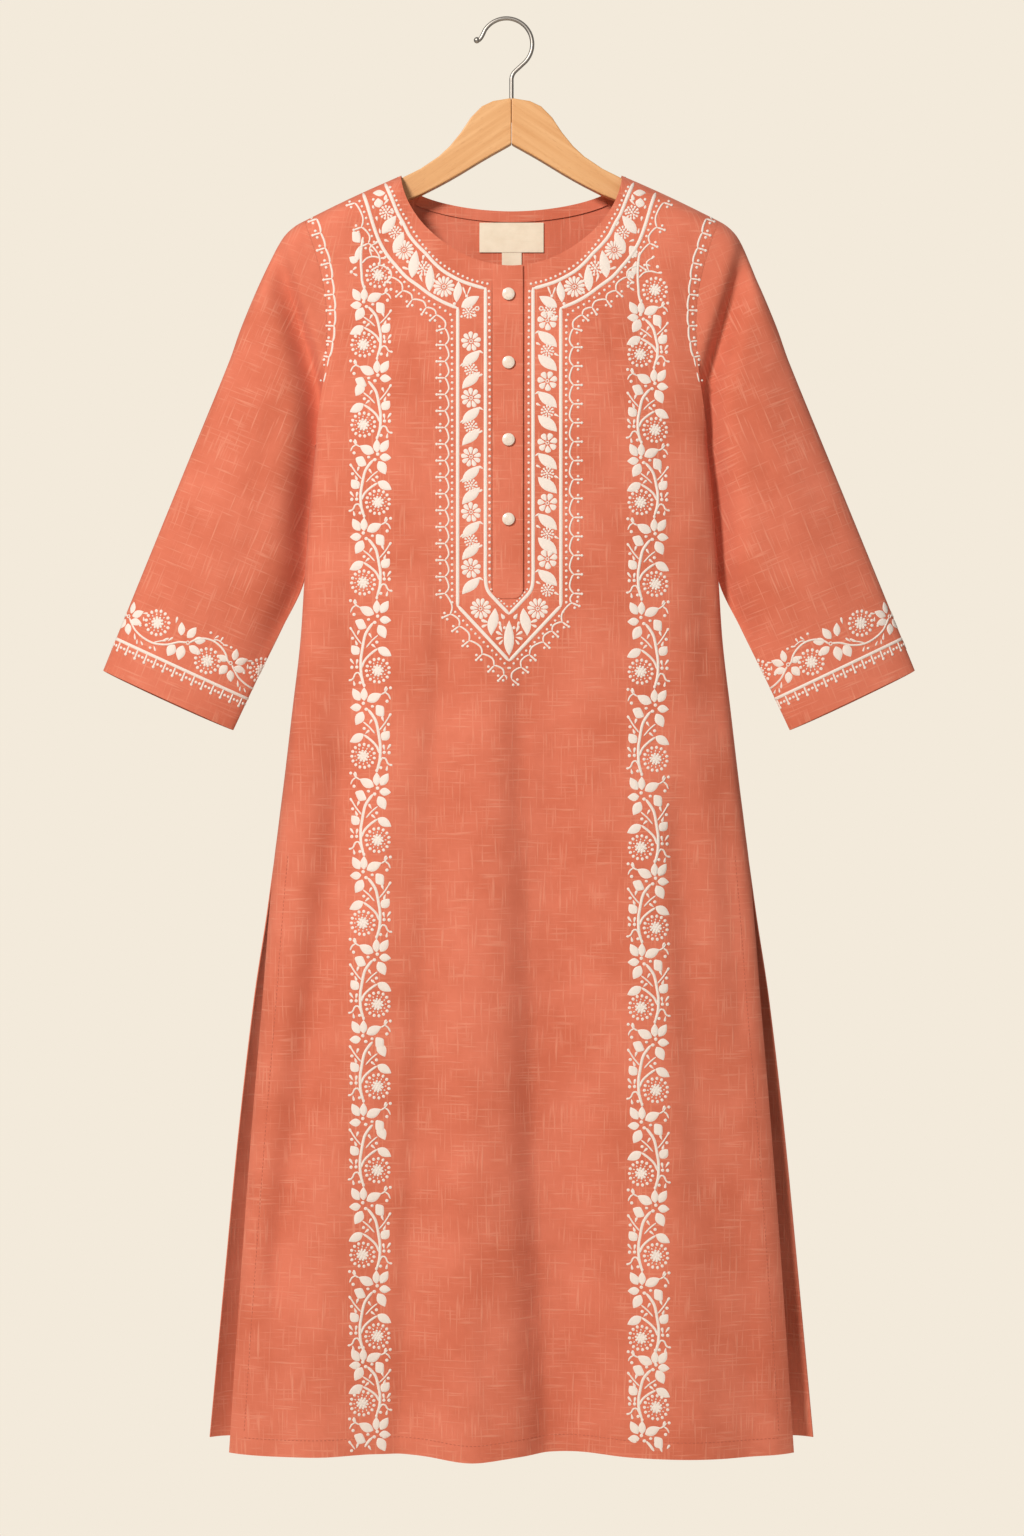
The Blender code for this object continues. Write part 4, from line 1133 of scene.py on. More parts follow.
VINE_HEAD_MARKS = (
    ("leaf", -11.4, 19.0, 80, 14.0, 5.2),
    ("block", -12.8, 34.0, 80, 9.6, 8.0),
    ("leaf", -15.6, 14.0, 150, 8.4, 6.4),
    ("petal", 4.4, 28.6, 40, 4.8, 3.0),
    ("petal", 0.6, 22.0, 160, 4.8, 2.8),
    ("dot", 8.8, 20.6, 0, 3.2, 3.2),
    ("petal", 10.6, 15.2, 0, 5.0, 2.8),
    ("dot", -17.4, 3.0, 0, 3.2, 3.2),
    ("petal", -14.6, 5.8, 40, 4.8, 2.8),
    ("petal", -14.0, 0.6, -30, 4.8, 2.8),
)
VINE_END = FRONT_HEM + 2.5


def above_hem(work):
    """Leaves out what would hang past the hem."""
    for kind, marks in work["marks"].items():
        work["marks"][kind] = [mark for mark in marks if mark[1] - 0.8 * mark[3] > VINE_END]
    kept = []
    for path, width, height in work["lines"]:
        short = [place for place in path if place[1] > VINE_END + 1.0]
        if len(short) > 1:
            kept.append((short, width, height))
    work["lines"] = kept
    return work


def stretched(marks, lines, share):
    """The chart with its levels drawn out or in by a share."""
    marks = [(kind, x, y * share, degrees, length, width) for kind, x, y, degrees, length, width in marks]
    return marks, [(width, [(x, y * share) for x, y in path]) for width, path in lines]


def vine_work(vine):
    """A vine down one band, past each of its rosettes in turn."""
    work = new_work()
    middle, rosettes = vine["middle"], vine["rosettes"]
    lay_chart(work, VINE_HEAD_MARKS, VINE_HEAD_LINES, chart((middle, rosettes[0][0]), rosettes[0][1]))
    for number, (level, side) in enumerate(rosettes):
        last = number == len(rosettes) - 1
        next_level, next_side = (level - VINE_LAST_DROP, -side) if last else rosettes[number + 1]
        share = (level - next_level) / VINE_PITCH
        add_rosette(work, middle + side * ROSETTE_OFF, level, ROSETTE_REACH)
        lay_chart(work, *stretched(CLUSTER_MARKS, CLUSTER_LINES, share), chart((middle, level), side))
        lay_chart(work, *stretched(STEM_MARKS, STEM_LINES, share), chart((middle, level), -next_side))
    return above_hem(work)


# Yoke round the neck and placket. Reach is the distance from its middle, so that both sides share a table
YOKE_MIDDLE = -2.0
TAPE_LINE = 3.5
TAPES = (
    ((111.4, -148.4), (105.3, -162.8), (99.4, -177.5), (94.6, -186.0), (89.2, -196.7), (82.1, -205.6),
     (75.0, -212.7), (67.9, -220.7), (59.0, -228.7), (50.1, -234.1), (41.2, -238.5), (30.5, -242.1),
     (21.6, -244.6)),
    ((21.2, -243.6), (21.2, -300.0), (21.2, -400.0), (21.2, -480.0), (21.0, -506.0), (19.0, -514.6),
     (12.0, -523.0),
     (0.0, -535.6)),
    ((131.0, -157.4), (126.7, -169.9), (121.3, -187.8), (116.0, -202.0), (108.8, -214.5), (100.8, -224.3),
     (91.9, -234.1), (81.2, -242.1), (70.5, -250.1), (59.9, -256.3), (46.2, -262.2)),
    ((45.9, -261.4), (45.9, -350.0), (45.9, -440.0), (45.9, -529.0)),
    ((45.9, -528.0), (24.0, -551.4), (0.0, -577.2)),
)
DOT_ROWS = (
    (4.6, 2.6, ((106.4, -153.0), (101.7, -163.0), (97.0, -173.6), (91.0, -183.3), (86.6, -191.3),
                (76.8, -205.6),
                (63.4, -219.8), (49.2, -229.6), (33.1, -237.0), (19.4, -240.4))),
    (5.9, 2.6, ((18.0, -247.0), (17.4, -300.0), (17.4, -400.0), (17.4, -507.0))),
    (3.3, 2.0, ((16.0, -513.4), (8.8, -522.2), (1.8, -528.6))),
    (5.6, 2.6, ((133.8, -165.4), (129.3, -176.2), (124.9, -190.6), (119.5, -204.7), (112.6, -213.2),
                (102.6, -226.9),
                (91.0, -241.2), (81.2, -248.6), (70.5, -256.6), (59.0, -263.2), (52.4, -268.0))),
    (5.6, 2.7, ((51.0, -273.0), (50.8, -350.0), (50.8, -440.0), (50.8, -525.0))),
    (5.2, 2.5, ((48.0, -533.4), (36.0, -546.6), (19.4, -563.8), (7.4, -575.6), (0.6, -583.4))),
)
# Cusps of the scalloped line outside it; those beside the placket are spaced evenly
CUSPS_TOP = (
    (138.3, -167.0), (132.0, -189.5), (125.8, -203.8), (116.0, -223.4), (105.3, -234.1), (95.5, -246.5),
    (86.6, -254.6), (74.1, -261.7), (65.2, -268.4),
)
CUSPS_LOW_LEFT = (
    (52.7, -535.6), (44.7, -546.3), (35.8, -559.2), (24.2, -571.2), (13.5, -581.4), (4.8, -589.5),
)
CUSPS_LOW_RIGHT = (
    (55.7, -525.6), (47.2, -542.6), (38.2, -550.7), (30.6, -560.5), (18.1, -571.7), (10.9, -582.9),
    (2.4, -593.6),
)
CUSP_REACH = 57.4
CUSP_SIDE = (-280.4, -517.0)
CUSPS_BESIDE_LEFT = 16
CUSPS_BESIDE_RIGHT = 14
CUSP_BULGE = 3.6
CUSP_LINE = 1.8
CUSP_BAR = 7.2
CUSP_SPREAD = 3.0
CUSP_DOT = 2.7
# Leaves and clusters on the curve round the neck: kind, reach, level, degrees, length, width.
# Degrees run from outwards, 0, over up, 90, to inwards, 180.
ARC_MARKS = (
    ("pointed", 116.4, -158.4, 196, 11.4, 6.4),
    ("petal", 110.4, -162.6, 280, 5.8, 4.4),
    ("leaf", 116.6, -167.6, 80, 8.8, 7.8),
    ("petal", 110.0, -167.0, 132, 6.8, 2.8),
    ("dot", 121.4, -164.4, 0, 2.8, 2.8),
    ("dot", 121.4, -171.4, 70, 3.6, 2.4),
    ("petal", 104.2, -174.6, 40, 4.6, 3.0),
    ("leaf", 107.1, -187.2, 128, 20.4, 8.8),
    ("petal", 118.2, -181.8, 80, 4.4, 3.0),
    ("petal", 115.6, -192.6, 260, 4.8, 2.6),
    ("petal", 96.6, -186.4, 70, 5.0, 3.0),
    ("petal", 109.4, -201.4, 20, 4.8, 2.8),
    ("pointed", 98.8, -203.2, 124, 20.6, 8.6),
    ("leaf", 84.8, -222.5, 99, 25.0, 9.0),
    ("petal", 92.0, -226.4, 20, 7.4, 3.0),
    ("dot", 90.6, -220.4, 0, 3.0, 3.0),
    ("petal", 76.6, -216.8, 100, 4.8, 3.2),
    ("petal", 78.6, -235.4, 70, 7.0, 2.8),
    ("leaf", 70.5, -235.2, 93, 24.0, 7.8),
    ("petal", 63.8, -233.2, 130, 5.6, 2.8),
    ("petal", 66.6, -237.6, 60, 4.6, 2.6),
    ("dot", 66.4, -248.2, 0, 3.0, 3.0),
    ("pointed", 46.2, -247.6, 284, 18.8, 7.6),
    ("petal", 39.8, -247.4, 70, 9.0, 2.2),
    ("petal", 36.0, -247.0, 112, 9.0, 2.2),
    ("dot", 38.0, -251.4, 0, 3.0, 3.0),
    ("leaf", 34.7, -256.6, 148, 18.8, 8.6),
    ("ring", 28.6, -262.6, 0, 4.6, 4.6),
    ("dot", 30.6, -268.8, 0, 3.0, 3.0),
    ("dot", 42.4, -269.8, 0, 2.8, 2.8),
    ("dot", 48.8, -258.2, 0, 3.0, 3.0),
)
ARC_DAISIES = ((93.9, -210.0, 8.8, 14), (58.2, -243.0, 9.4, 13))
ARC_CLUSTERS = ((109.7, -176.2, 6.0), (101.7, -194.2, 5.6), (77.0, -226.4, 6.4), (36.0, -265.8, 5.4))
# Down each side: levels of the flowers; the leaves and the cluster under each are drops from it
BAND_REACH = 34.0
CHAIN_DAISY = 8.8
CHAIN_CLUSTER = 5.6
CHAINS = (
    {
        "side": -1.0, "flowers": (-292.0, -342.7, -395.3, -444.7, -494.6), "leaf_drops": (15.6, 34.9),
        "cluster": 25.6, "petals": 9, "degrees": 146.0, "length": 21.6, "width": 9.4, "last_cluster": False,
    },
    {
        "side": 1.0, "flowers": (-273.3, -327.6, -382.8, -436.7, -486.6), "leaf_drops": (16.6, 38.0),
        "cluster": 27.4, "petals": 7, "degrees": 150.0, "length": 22.0, "width": 10.4, "last_cluster": True,
    },
)
POINT_MARKS = (
    ("pointed", 14.2, -542.4, 107, 24.4, 9.6),
    ("petal", 5.9, -537.4, 240, 5.6, 4.2),
    ("petal", 21.6, -541.8, 20, 7.0, 3.6),
    ("petal", 22.0, -545.8, 340, 5.6, 3.2),
    ("petal", 8.0, -544.2, 70, 4.8, 3.0),
    ("dot", 4.2, -547.6, 0, 3.0, 3.0),
    ("petal", 7.4, -548.6, 70, 6.4, 3.4),
    ("petal", 8.8, -552.6, 30, 6.8, 3.4),
    ("petal", 8.8, -556.8, 345, 6.6, 3.2),
    ("petal", 7.2, -560.4, 310, 5.6, 3.0),
)
POINT_DAISY = (25.4, -530.6, 9.3, 11)
POINT_LEAF = (-556.6, 31.0, 8.8)


def add_cluster(work, u, v, radius):
    """A rough cluster of small knots, with longer ones at its rim."""
    for count, share, length in ((1, 0.0, 0.5), (6, 0.42, 0.44), (11, 0.84, 0.52)):
        for i in range(count):
            angle = 2.0 * math.pi * (i + 0.35 * count) / count
            reach = share * radius
            place = (u + reach * math.cos(angle), v + reach * math.sin(angle))
            add_mark(work, "petal", *place, angle, length * radius, 0.48 * radius)


def add_chain(work, chain):
    """Flowers down one side of the yoke, with two leaves and a cluster under each."""
    side = chain["side"]
    middle = YOKE_MIDDLE + side * BAND_REACH
    turn = math.radians(chain["degrees"])
    turn = turn if side > 0.0 else math.pi - turn
    first_drop = chain["leaf_drops"][0]
    for number, level in enumerate(chain["flowers"]):
        last = number == len(chain["flowers"]) - 1
        add_daisy(work, middle, level, CHAIN_DAISY, chain["petals"])
        for drop in chain["leaf_drops"][:1 if last else 2]:
            add_mark(work, "pointed", middle, level - drop, turn, chain["length"], -side * chain["width"])
        if not last or chain["last_cluster"]:
            add_cluster(work, middle, level - chain["cluster"], CHAIN_CLUSTER)
            for reach, drop in ((-8.0, 21.0), (8.2, 30.6)):
                add_mark(work, "petal", middle + reach, level - drop, turn, 4.8, 2.8)
        add_mark(work, "petal", middle - side * 9.2, level - first_drop + 6.0, math.pi - turn, 4.6, 2.6)


def add_yoke_side(work, side):
    """One side of the yoke: side is -1 on the left and 1 on the right."""
    def places(points):
        return [(YOKE_MIDDLE + side * reach, level) for reach, level in points]

    def turned(degrees):
        return math.radians(degrees if side > 0.0 else 180.0 - degrees)

    for line in TAPES:
        add_line(work, places(line), TAPE_LINE)
    for pitch, across, row in DOT_ROWS:
        add_dots_along(work, places(row), pitch, across)
    if side < 0.0:
        count, low, last = CUSPS_BESIDE_LEFT, CUSPS_LOW_LEFT, CUSPS_LOW_RIGHT[-1:]
    else:
        count, low, last = CUSPS_BESIDE_RIGHT, CUSPS_LOW_RIGHT, ()
    levels = np.linspace(*CUSP_SIDE, count + 1)
    cusps = CUSPS_TOP + tuple((CUSP_REACH, float(level)) for level in levels) + low
    add_scallops(work, places(cusps + last), side, CUSP_BULGE, CUSP_LINE)
    add_crosses(work, places(cusps), side, CUSP_BAR, CUSP_SPREAD, CUSP_DOT)
    for kind, reach, level, degrees, length, width in ARC_MARKS + POINT_MARKS:
        add_mark(work, kind, YOKE_MIDDLE + side * reach, level, turned(degrees), length, -side * width)
    for reach, level, radius, petals in ARC_DAISIES + (POINT_DAISY,):
        add_daisy(work, YOKE_MIDDLE + side * reach, level, radius, petals)
    for reach, level, radius in ARC_CLUSTERS:
        add_cluster(work, YOKE_MIDDLE + side * reach, level, radius)


def yoke_work():
    work = new_work()
    for chain in CHAINS:
        add_yoke_side(work, chain["side"])
        add_chain(work, chain)
    level, length, width = POINT_LEAF
    add_mark(work, "leaf", YOKE_MIDDLE, level, math.pi / 2, length, width)
    return work


# Line of stitches down each armhole, as distance from the middle and level
ARMHOLE_TRIM = (
    (174.6, -180.6), (172.3, -189.5), (167.9, -201.1), (165.2, -213.6), (161.9, -222.6), (161.3, -231.5),
    (159.4, -240.5), (159.2, -249.0), (158.2, -259.1), (158.1, -268.1), (159.0, -280.7), (160.1, -292.1),
    (162.6, -301.0), (163.6, -309.1), (165.8, -318.0), (167.2, -325.3), (169.4, -332.3),
)
ARMHOLE_PITCH = 13.6


def armhole_work():
    work = new_work()
    for side in (-1.0, 1.0):
        path = [(side * reach, level) for reach, level in ARMHOLE_TRIM]
        u, v, _, _ = even_run(path, ARMHOLE_PITCH)
        sprigs = list(zip(u, v))
        add_scallops(work, sprigs[:-2], side, 1.0, 2.1)
        add_crosses(work, sprigs[:-2], side, 7.4, 3.1, 2.8)
        for (u0, v0), (u1, v1) in zip(sprigs[-3:], sprigs[-2:]):
            add_line(work, [(u0, v0), (0.4 * u0 + 0.6 * u1, 0.4 * v0 + 0.6 * v1)], 1.5)
            add_dot(work, 0.5 * (u0 + u1) + side * 3.0, 0.5 * (v0 + v1), 2.0)
    return work


# Cuff band: u is the run round the sleeve from its outer edge, v the height above the cuff's edge
CUFF_LINE = 31.0
CUFF_VINE = 54.0
CUFF_WAVE = 102.8
CUFF_START = 7.2
# The last wave is cut short after this place in the chart and squeezed to the rest of the round
CUFF_SHORT_END = 46.0
CUFF_SHORT_WAVE = 61.0
CUFF_ROSETTE = 11.6
CUFF_FRINGE_PITCH = 9.6
CUFF_RING_AT = 0.93
CUFF_MARKS = (
    ("leaf", 0.6, 8.6, 100, 11.0, 5.8),
    ("leaf", 8.0, 5.6, 42, 12.0, 6.4),
    ("leaf", 9.6, -1.6, 5, 11.0, 6.2),
    ("leaf", -3.6, -8.4, -110, 10.6, 7.4),
    ("leaf", 4.8, -10.6, -62, 10.6, 6.6),
    ("leaf", -8.4, 1.0, 170, 9.6, 5.6),
    ("ring", 0.0, 0.0, 0, 3.8, 3.8),
    ("dot", 14.6, -3.0, 0, 2.8, 2.6),
    ("petal", 14.6, 8.8, 24, 5.0, 2.4),
    ("petal", 15.2, 3.6, -60, 4.2, 2.4),
    ("petal", 17.4, -17.4, -70, 4.6, 2.2),
    ("petal", 22.0, -16.8, -40, 4.6, 2.2),
    ("petal", 13.6, -14.0, -60, 6.0, 2.6),
    ("dot", 31.0, -17.6, 0, 3.0, 2.6),
    ("petal", 35.0, -16.4, -50, 5.0, 2.4),
    ("petal", 41.0, -5.0, 40, 6.6, 2.6),
    ("petal", 45.0, -3.0, 60, 6.0, 2.4),
    ("leaf", 50.6, 9.6, 110, 12.0, 6.2),
    ("leaf", 49.6, -11.8, -100, 12.0, 8.4),
    ("leaf", 58.4, -10.2, -84, 13.6, 8.2),
    ("leaf", 60.4, 10.4, 72, 12.6, 6.8),
    ("leaf", 69.6, 7.0, 20, 10.8, 6.4),
    ("leaf", 69.0, -2.6, -10, 12.6, 6.8),
    ("ring", 60.8, 0.6, 0, 3.8, 3.8),
    ("petal", 43.6, 15.0, 100, 6.0, 2.8),
    ("dot", 76.0, 17.4, 0, 2.8, 2.8),
    ("petal", 82.0, 15.8, 60, 5.0, 2.2),
    ("petal", 87.0, 16.0, 80, 5.0, 2.2),
    ("petal", 92.0, 12.6, 20, 5.0, 2.2),
    ("dot", 97.6, 13.0, 0, 2.8, 2.6),
)
CUFF_LINES = (
    (2.0, ((1.6, -1.0), (6.4, -5.0), (12.2, -9.0), (22.0, -12.0), (32.8, -12.4), (44.0, -8.6),
           (53.0, -2.2), (60.0, 0.6))),
    (1.4, ((32.0, -12.0), (38.0, -7.8), (42.0, -6.0))),
    (2.0, ((62.0, 1.2), (66.0, 6.0), (72.0, 10.0), (80.0, 11.6), (88.0, 10.0), (95.0, 6.0), (99.4, 1.0),
           (101.8, -0.6))),
    (1.3, ((80.0, 11.8), (84.0, 14.0), (91.0, 12.6))),
)
CUFF_ROSETTES = ((28.4, 5.6), (83.0, -6.8))


class CuffSurface:
    """The sleeve at +x by run round it, counted from the back so that it is right-handed, and height."""

    def __init__(self, nearer):
        self.nearer = nearer
        share_down, back = sleeve_ring(200)
        ring = sleeve_point(np.full(share_down.shape, CUFF_RING_AT), share_down, back, nearer)
        self.run = np.concatenate([[0.0], np.cumsum(np.linalg.norm(np.diff(ring, axis=0), axis=1))])
        self.place = np.where(back, 2.0 - share_down, share_down)
        self.round = float(self.run[-1])

    def __call__(self, u, v):
        place = np.interp(np.mod(-u, self.round), self.run, self.place)
        back = place > 1.0
        share_down = np.where(back, 2.0 - place, place)
        share = 1.0 - v / (OUTER_LENGTH + (INNER_LENGTH - OUTER_LENGTH) * share_down)
        return sleeve_point(share, share_down, back, self.nearer)


OUTER_LENGTH = float(np.sum(np.hypot(*np.diff(np.array(SLEEVE_OUTER), axis=0).T)))
INNER_LENGTH = float(np.sum(np.hypot(*np.diff(np.array(SLEEVE_INNER), axis=0).T)))


def cuff_work(cuff_round):
    """The cuff's vine in two waves and a shorter last one, over a line with a fringe."""
    work = new_work()
    for number in range(3):
        start = -(CUFF_START + CUFF_WAVE * number)
        marks, lines, rosettes, size = CUFF_MARKS, CUFF_LINES, CUFF_ROSETTES, 1.0
        if number == 2:
            marks = [mark for mark in CUFF_MARKS if mark[1] < CUFF_SHORT_END]
            lines, rosettes = CUFF_LINES[:2], CUFF_ROSETTES[:1]
            size = (cuff_round - 2.0 * CUFF_WAVE) / CUFF_SHORT_WAVE
        where = chart((start, CUFF_VINE), -1.0, 0.0, size)
        lay_chart(work, marks, lines, where)
        for x, y in rosettes:
            add_rosette(work, *where[0](x, y), CUFF_ROSETTE)
    add_line(work, [(-cuff_round * i / 40.0, CUFF_LINE) for i in range(41)], 3.2)
    count = round(cuff_round / CUFF_FRINGE_PITCH)
    fringe = [(-cuff_round * i / count, CUFF_LINE - 1.0) for i in range(count)]
    add_crosses(work, fringe, 1.0, 8.0, 3.0, 2.9)
    return work


# Lines of machine stitches in thread of the cloth's colour

STITCH_PITCH = 3.6
STITCH_LENGTH = 2.6
STITCH_WIDTH = 0.7
STITCH_RISE = 0.3
HEM_TURN = 15.0
SLIT_STITCHES_TOP = -752.0


def hem_stitches(half_pairs, hem, wave, reach, slit_end, slit_turn, flip=1.0):
    """Stitches of a panel's hem and slit hems; flip is -1 where u is counted towards -x."""
    paths = [[(flip * x, hem + HEM_TURN - float(smooth(wave, x))) for x in np.linspace(-reach, reach, 60)]]
    for side in (-1.0, 1.0):
        levels = np.linspace(SLIT_STITCHES_TOP, slit_end, 40)
        paths.append([(side * (float(smooth(half_pairs, z)) - slit_turn), z) for z in levels])
    work = new_work()
    for path in paths:
        u, v, heading, _ = even_run(path, STITCH_PITCH)
        for row in zip(u, v, heading):
            work["marks"]["dot"].append((*row, STITCH_LENGTH / 2.0, STITCH_WIDTH / 2.0, STITCH_RISE))
    return work


def back_surface(u, v):
    """The back with u counted towards -x, so that it is right-handed."""
    x = -u
    return np.stack(np.broadcast_arrays(x, back_y(x, v), v), axis=-1)


# Materials

def linear(hex_colour):
    """An sRGB hex colour as linear red, green, blue and full cover."""
    channels = [int(hex_colour[i:i + 2], 16) / 255.0 for i in (0, 2, 4)]
    return tuple(c / 12.92 if c <= 0.04045 else ((c + 0.055) / 1.055) ** 2.4 for c in channels) + (1.0,)


def add_node(tree, kind, settings, inputs, output=0):
    """Adds a node with its settings, gives its sockets values or links, and returns one of its outputs."""
    node = tree.nodes.new(kind)
    for name, value in settings.items():
        setattr(node, name, value)
    for name, value in inputs.items():
        if isinstance(value, bpy.types.NodeSocket):
            tree.links.new(value, node.inputs[name])
        else:
            node.inputs[name].default_value = value
    return node.outputs[output]


def new_material(name, sockets):
    """A new material, its node tree, and its shader with these sockets set."""
    made = bpy.data.materials.new(name)
    made.use_nodes = True
    shader = made.node_tree.nodes["Principled BSDF"]
    for socket, value in sockets.items():
        shader.inputs[socket].default_value = value
    return made, made.node_tree, shader


def add_noise(tree, place, scale, detail, roughness=0.5):
    """Noise with so many features a metre; three numbers draw it out along x, y and z."""
    if isinstance(scale, tuple):
        place = add_node(tree, "ShaderNodeMapping", {}, {"Vector": place, "Scale": scale})
        scale = 1.0
    inputs = {"Vector": place, "Scale": scale, "Detail": detail, "Roughness": roughness}
    return add_node(tree, "ShaderNodeTexNoise", {}, inputs)


def add_math(tree, operation, *values):
    return add_node(tree, "ShaderNodeMath", {"operation": operation}, dict(enumerate(values)))


def add_range(tree, value, low, high, top=1.0, bottom=0.0):
    """A value stretched so that low becomes bottom and high becomes top."""
    inputs = {"Value": value, "From Min": low, "From Max": high, "To Min": bottom, "To Max": top}
    return add_node(tree, "ShaderNodeMapRange", {}, inputs)


def add_mix(tree, share, first, second):
    """The first colour where share is 0, the second where it is 1."""
    return add_node(tree, "ShaderNodeMix", {"data_type": "RGBA"}, {0: share, 6: first, 7: second}, 2)


def add_bump(tree, height, strength, distance, **under):
    inputs = {"Strength": strength, "Distance": distance, "Height": height}
    return add_node(tree, "ShaderNodeBump", {}, {**inputs, **under})


# Features a metre along the cloth's width and its length
LINEN_SLUBS = ((500.0, 30.0, 1.0), (32.0, 500.0, 1.0))
LINEN_THREADS = ((820.0, 60.0, 1.0), (60.0, 820.0, 1.0))
LINEN_RUMPLES = (34.0, 9.0, 1.0)
LINEN_CLOUDS = 13.0
SLUB_LIGHTER = 0.34


def slub_linen(name, base, light, dark):
    """Slub linen in plain weave, piece dyed: matt and dry, smooth from afar, with sparse thicker threads
    that took up less dye, and soft clouds where the dye took unevenly."""
    made, tree, shader = new_material(
        name, {"Roughness": 0.84, "Sheen Weight": 0.08, "Sheen Roughness": 0.6, "Specular IOR Level": 0.22}
    )
    uv = add_node(tree, "ShaderNodeTexCoord", {}, {}, "UV")
    # thicker threads about 1 mm wide and 15 to 40 mm long, in both directions
    slubs = [add_range(tree, add_noise(tree, uv, scale, 1.0), 0.57, 0.76) for scale in LINEN_SLUBS]
    slub = add_math(tree, "MAXIMUM", *slubs)
    # single threads, real ones 0.5 mm apart, drawn at about 1.2 mm so that they show close up
    thread = add_math(tree, "ADD", *(add_noise(tree, uv, scale, 1.0) for scale in LINEN_THREADS))
    # clouds of dye 60 to 120 mm across, and mottling of 10 mm
    clouds = add_range(tree, add_noise(tree, uv, LINEN_CLOUDS, 4.0, 0.62), 0.36, 0.64)
    dyed = add_mix(tree, clouds, linear(dark), linear(base))
    colour = add_mix(tree, add_math(tree, "MULTIPLY", slub, SLUB_LIGHTER), dyed, linear(light))
    tree.links.new(colour, shader.inputs["Base Color"])
    # soft rumples 30 mm wide and 110 mm long lie under the threads
    soft = add_bump(tree, add_noise(tree, uv, LINEN_RUMPLES, 2.0), 0.35, 0.004)
    height = add_math(tree, "MULTIPLY_ADD", thread, 0.4, slub)
    tree.links.new(add_bump(tree, height, 0.4, 0.0003, Normal=soft), shader.inputs["Normal"])
    return made


THREAD_PITCH = 0.0009
THREAD_SLANT = -0.7


def satin_thread(name, colour, shade):
    """Mercerised cotton embroidery thread in satin stitch: close parallel threads with a soft shine."""
    made, tree, shader = new_material(
        name, {"Roughness": 0.6, "Sheen Weight": 0.1, "Specular IOR Level": 0.35}
    )
    uv = add_node(tree, "ShaderNodeTexCoord", {}, {}, "UV")
    # threads 0.4 mm thick lie across the stitch, slanting off its middle; drawn at 0.9 mm to show
    along, across = (add_node(tree, "ShaderNodeSeparateXYZ", {}, {0: uv}, axis) for axis in "XY")
    run = add_math(tree, "MULTIPLY_ADD", add_math(tree, "ABSOLUTE", across), THREAD_SLANT, along)
    wave = add_math(tree, "SINE", add_math(tree, "MULTIPLY", run, 2.0 * math.pi / THREAD_PITCH))
    threads = add_mix(tree, add_range(tree, wave, -1.0, 1.0, 0.3), linear(colour), linear(shade))
    tree.links.new(threads, shader.inputs["Base Color"])
    tree.links.new(add_bump(tree, wave, 0.3, 0.0002), shader.inputs["Normal"])
    return made


def plain_thread(name, colour, shade):
    """Spun polyester sewing thread of the cloth's colour, finely mottled a little darker at random."""
    made, tree, shader = new_material(name, {"Roughness": 0.6})
    uv = add_node(tree, "ShaderNodeTexCoord", {}, {}, "UV")
    share = add_range(tree, add_noise(tree, uv, 2500.0, 1.0), 0.3, 0.7, 0.4)
    tree.links.new(add_mix(tree, share, linear(colour), linear(shade)), shader.inputs["Base Color"])
    return made


TAPE_RIBS = (60.0, 1600.0, 1.0)


def cotton_tape(name, base, shade):
    """Woven cotton label tape: fine ribs, ecru, with no print."""
    made, tree, shader = new_material(name, {"Roughness": 0.7, "Sheen Weight": 0.1})
    uv = add_node(tree, "ShaderNodeTexCoord", {}, {}, "UV")
    share = add_range(tree, add_noise(tree, uv, 90.0, 2.0), 0.35, 0.7, 0.6)
    tree.links.new(add_mix(tree, share, linear(base), linear(shade)), shader.inputs["Base Color"])
    ribs = add_noise(tree, uv, TAPE_RIBS, 1.0)
    tree.links.new(add_bump(tree, ribs, 0.4, 0.0003), shader.inputs["Normal"])
    return made


def pearl_shell(name, base, shade):
    """Turned and polished pearl shell: faintly clouded cream with a clear gloss."""
    made, tree, shader = new_material(name, {
        "Roughness": 0.25, "Coat Weight": 0.6, "Coat Roughness": 0.1,
        "Subsurface Weight": 0.1, "Subsurface Radius": (0.002, 0.0016, 0.0012),
    })
    place = add_node(tree, "ShaderNodeTexCoord", {}, {}, "Object")
    share = add_range(tree, add_noise(tree, place, 240.0, 2.0), 0.35, 0.68, 0.5)
    tree.links.new(add_mix(tree, share, linear(base), linear(shade)), shader.inputs["Base Color"])
    return made


BEECH_LIGHT = "E2B17C"
BEECH_DARK = "D49D65"
BEECH_FLECK = "A8672F"
GRAIN_LINES = (8.0, 110.0, 210.0)
GRAIN_FLECKS = (150.0, 900.0, 1300.0)


def lacquered_beech(name, lean):
    """Solid beech, planed, sanded and lacquered: warm, straight grain along the arm, small dark flecks."""
    made, tree, shader = new_material(name, {"Roughness": 0.42, "Coat Weight": 0.2, "Coat Roughness": 0.3})
    place = add_node(tree, "ShaderNodeTexCoord", {}, {}, "Object")
    leaning = (0.0, math.radians(lean), 0.0)
    turned = add_node(tree, "ShaderNodeMapping", {}, {"Vector": place, "Rotation": leaning})
    # growth lines 4 to 7 mm apart, drawn out along the arm
    lines = add_noise(tree, turned, GRAIN_LINES, 3.0)
    wood = add_mix(tree, add_range(tree, lines, 0.32, 0.68), linear(BEECH_LIGHT), linear(BEECH_DARK))
    flecks = add_range(tree, add_noise(tree, turned, GRAIN_FLECKS, 1.0), 0.64, 0.74, 0.25)
    tree.links.new(add_mix(tree, flecks, wood, linear(BEECH_FLECK)), shader.inputs["Base Color"])
    tree.links.new(add_bump(tree, lines, 0.1, 0.0003), shader.inputs["Normal"])
    return made


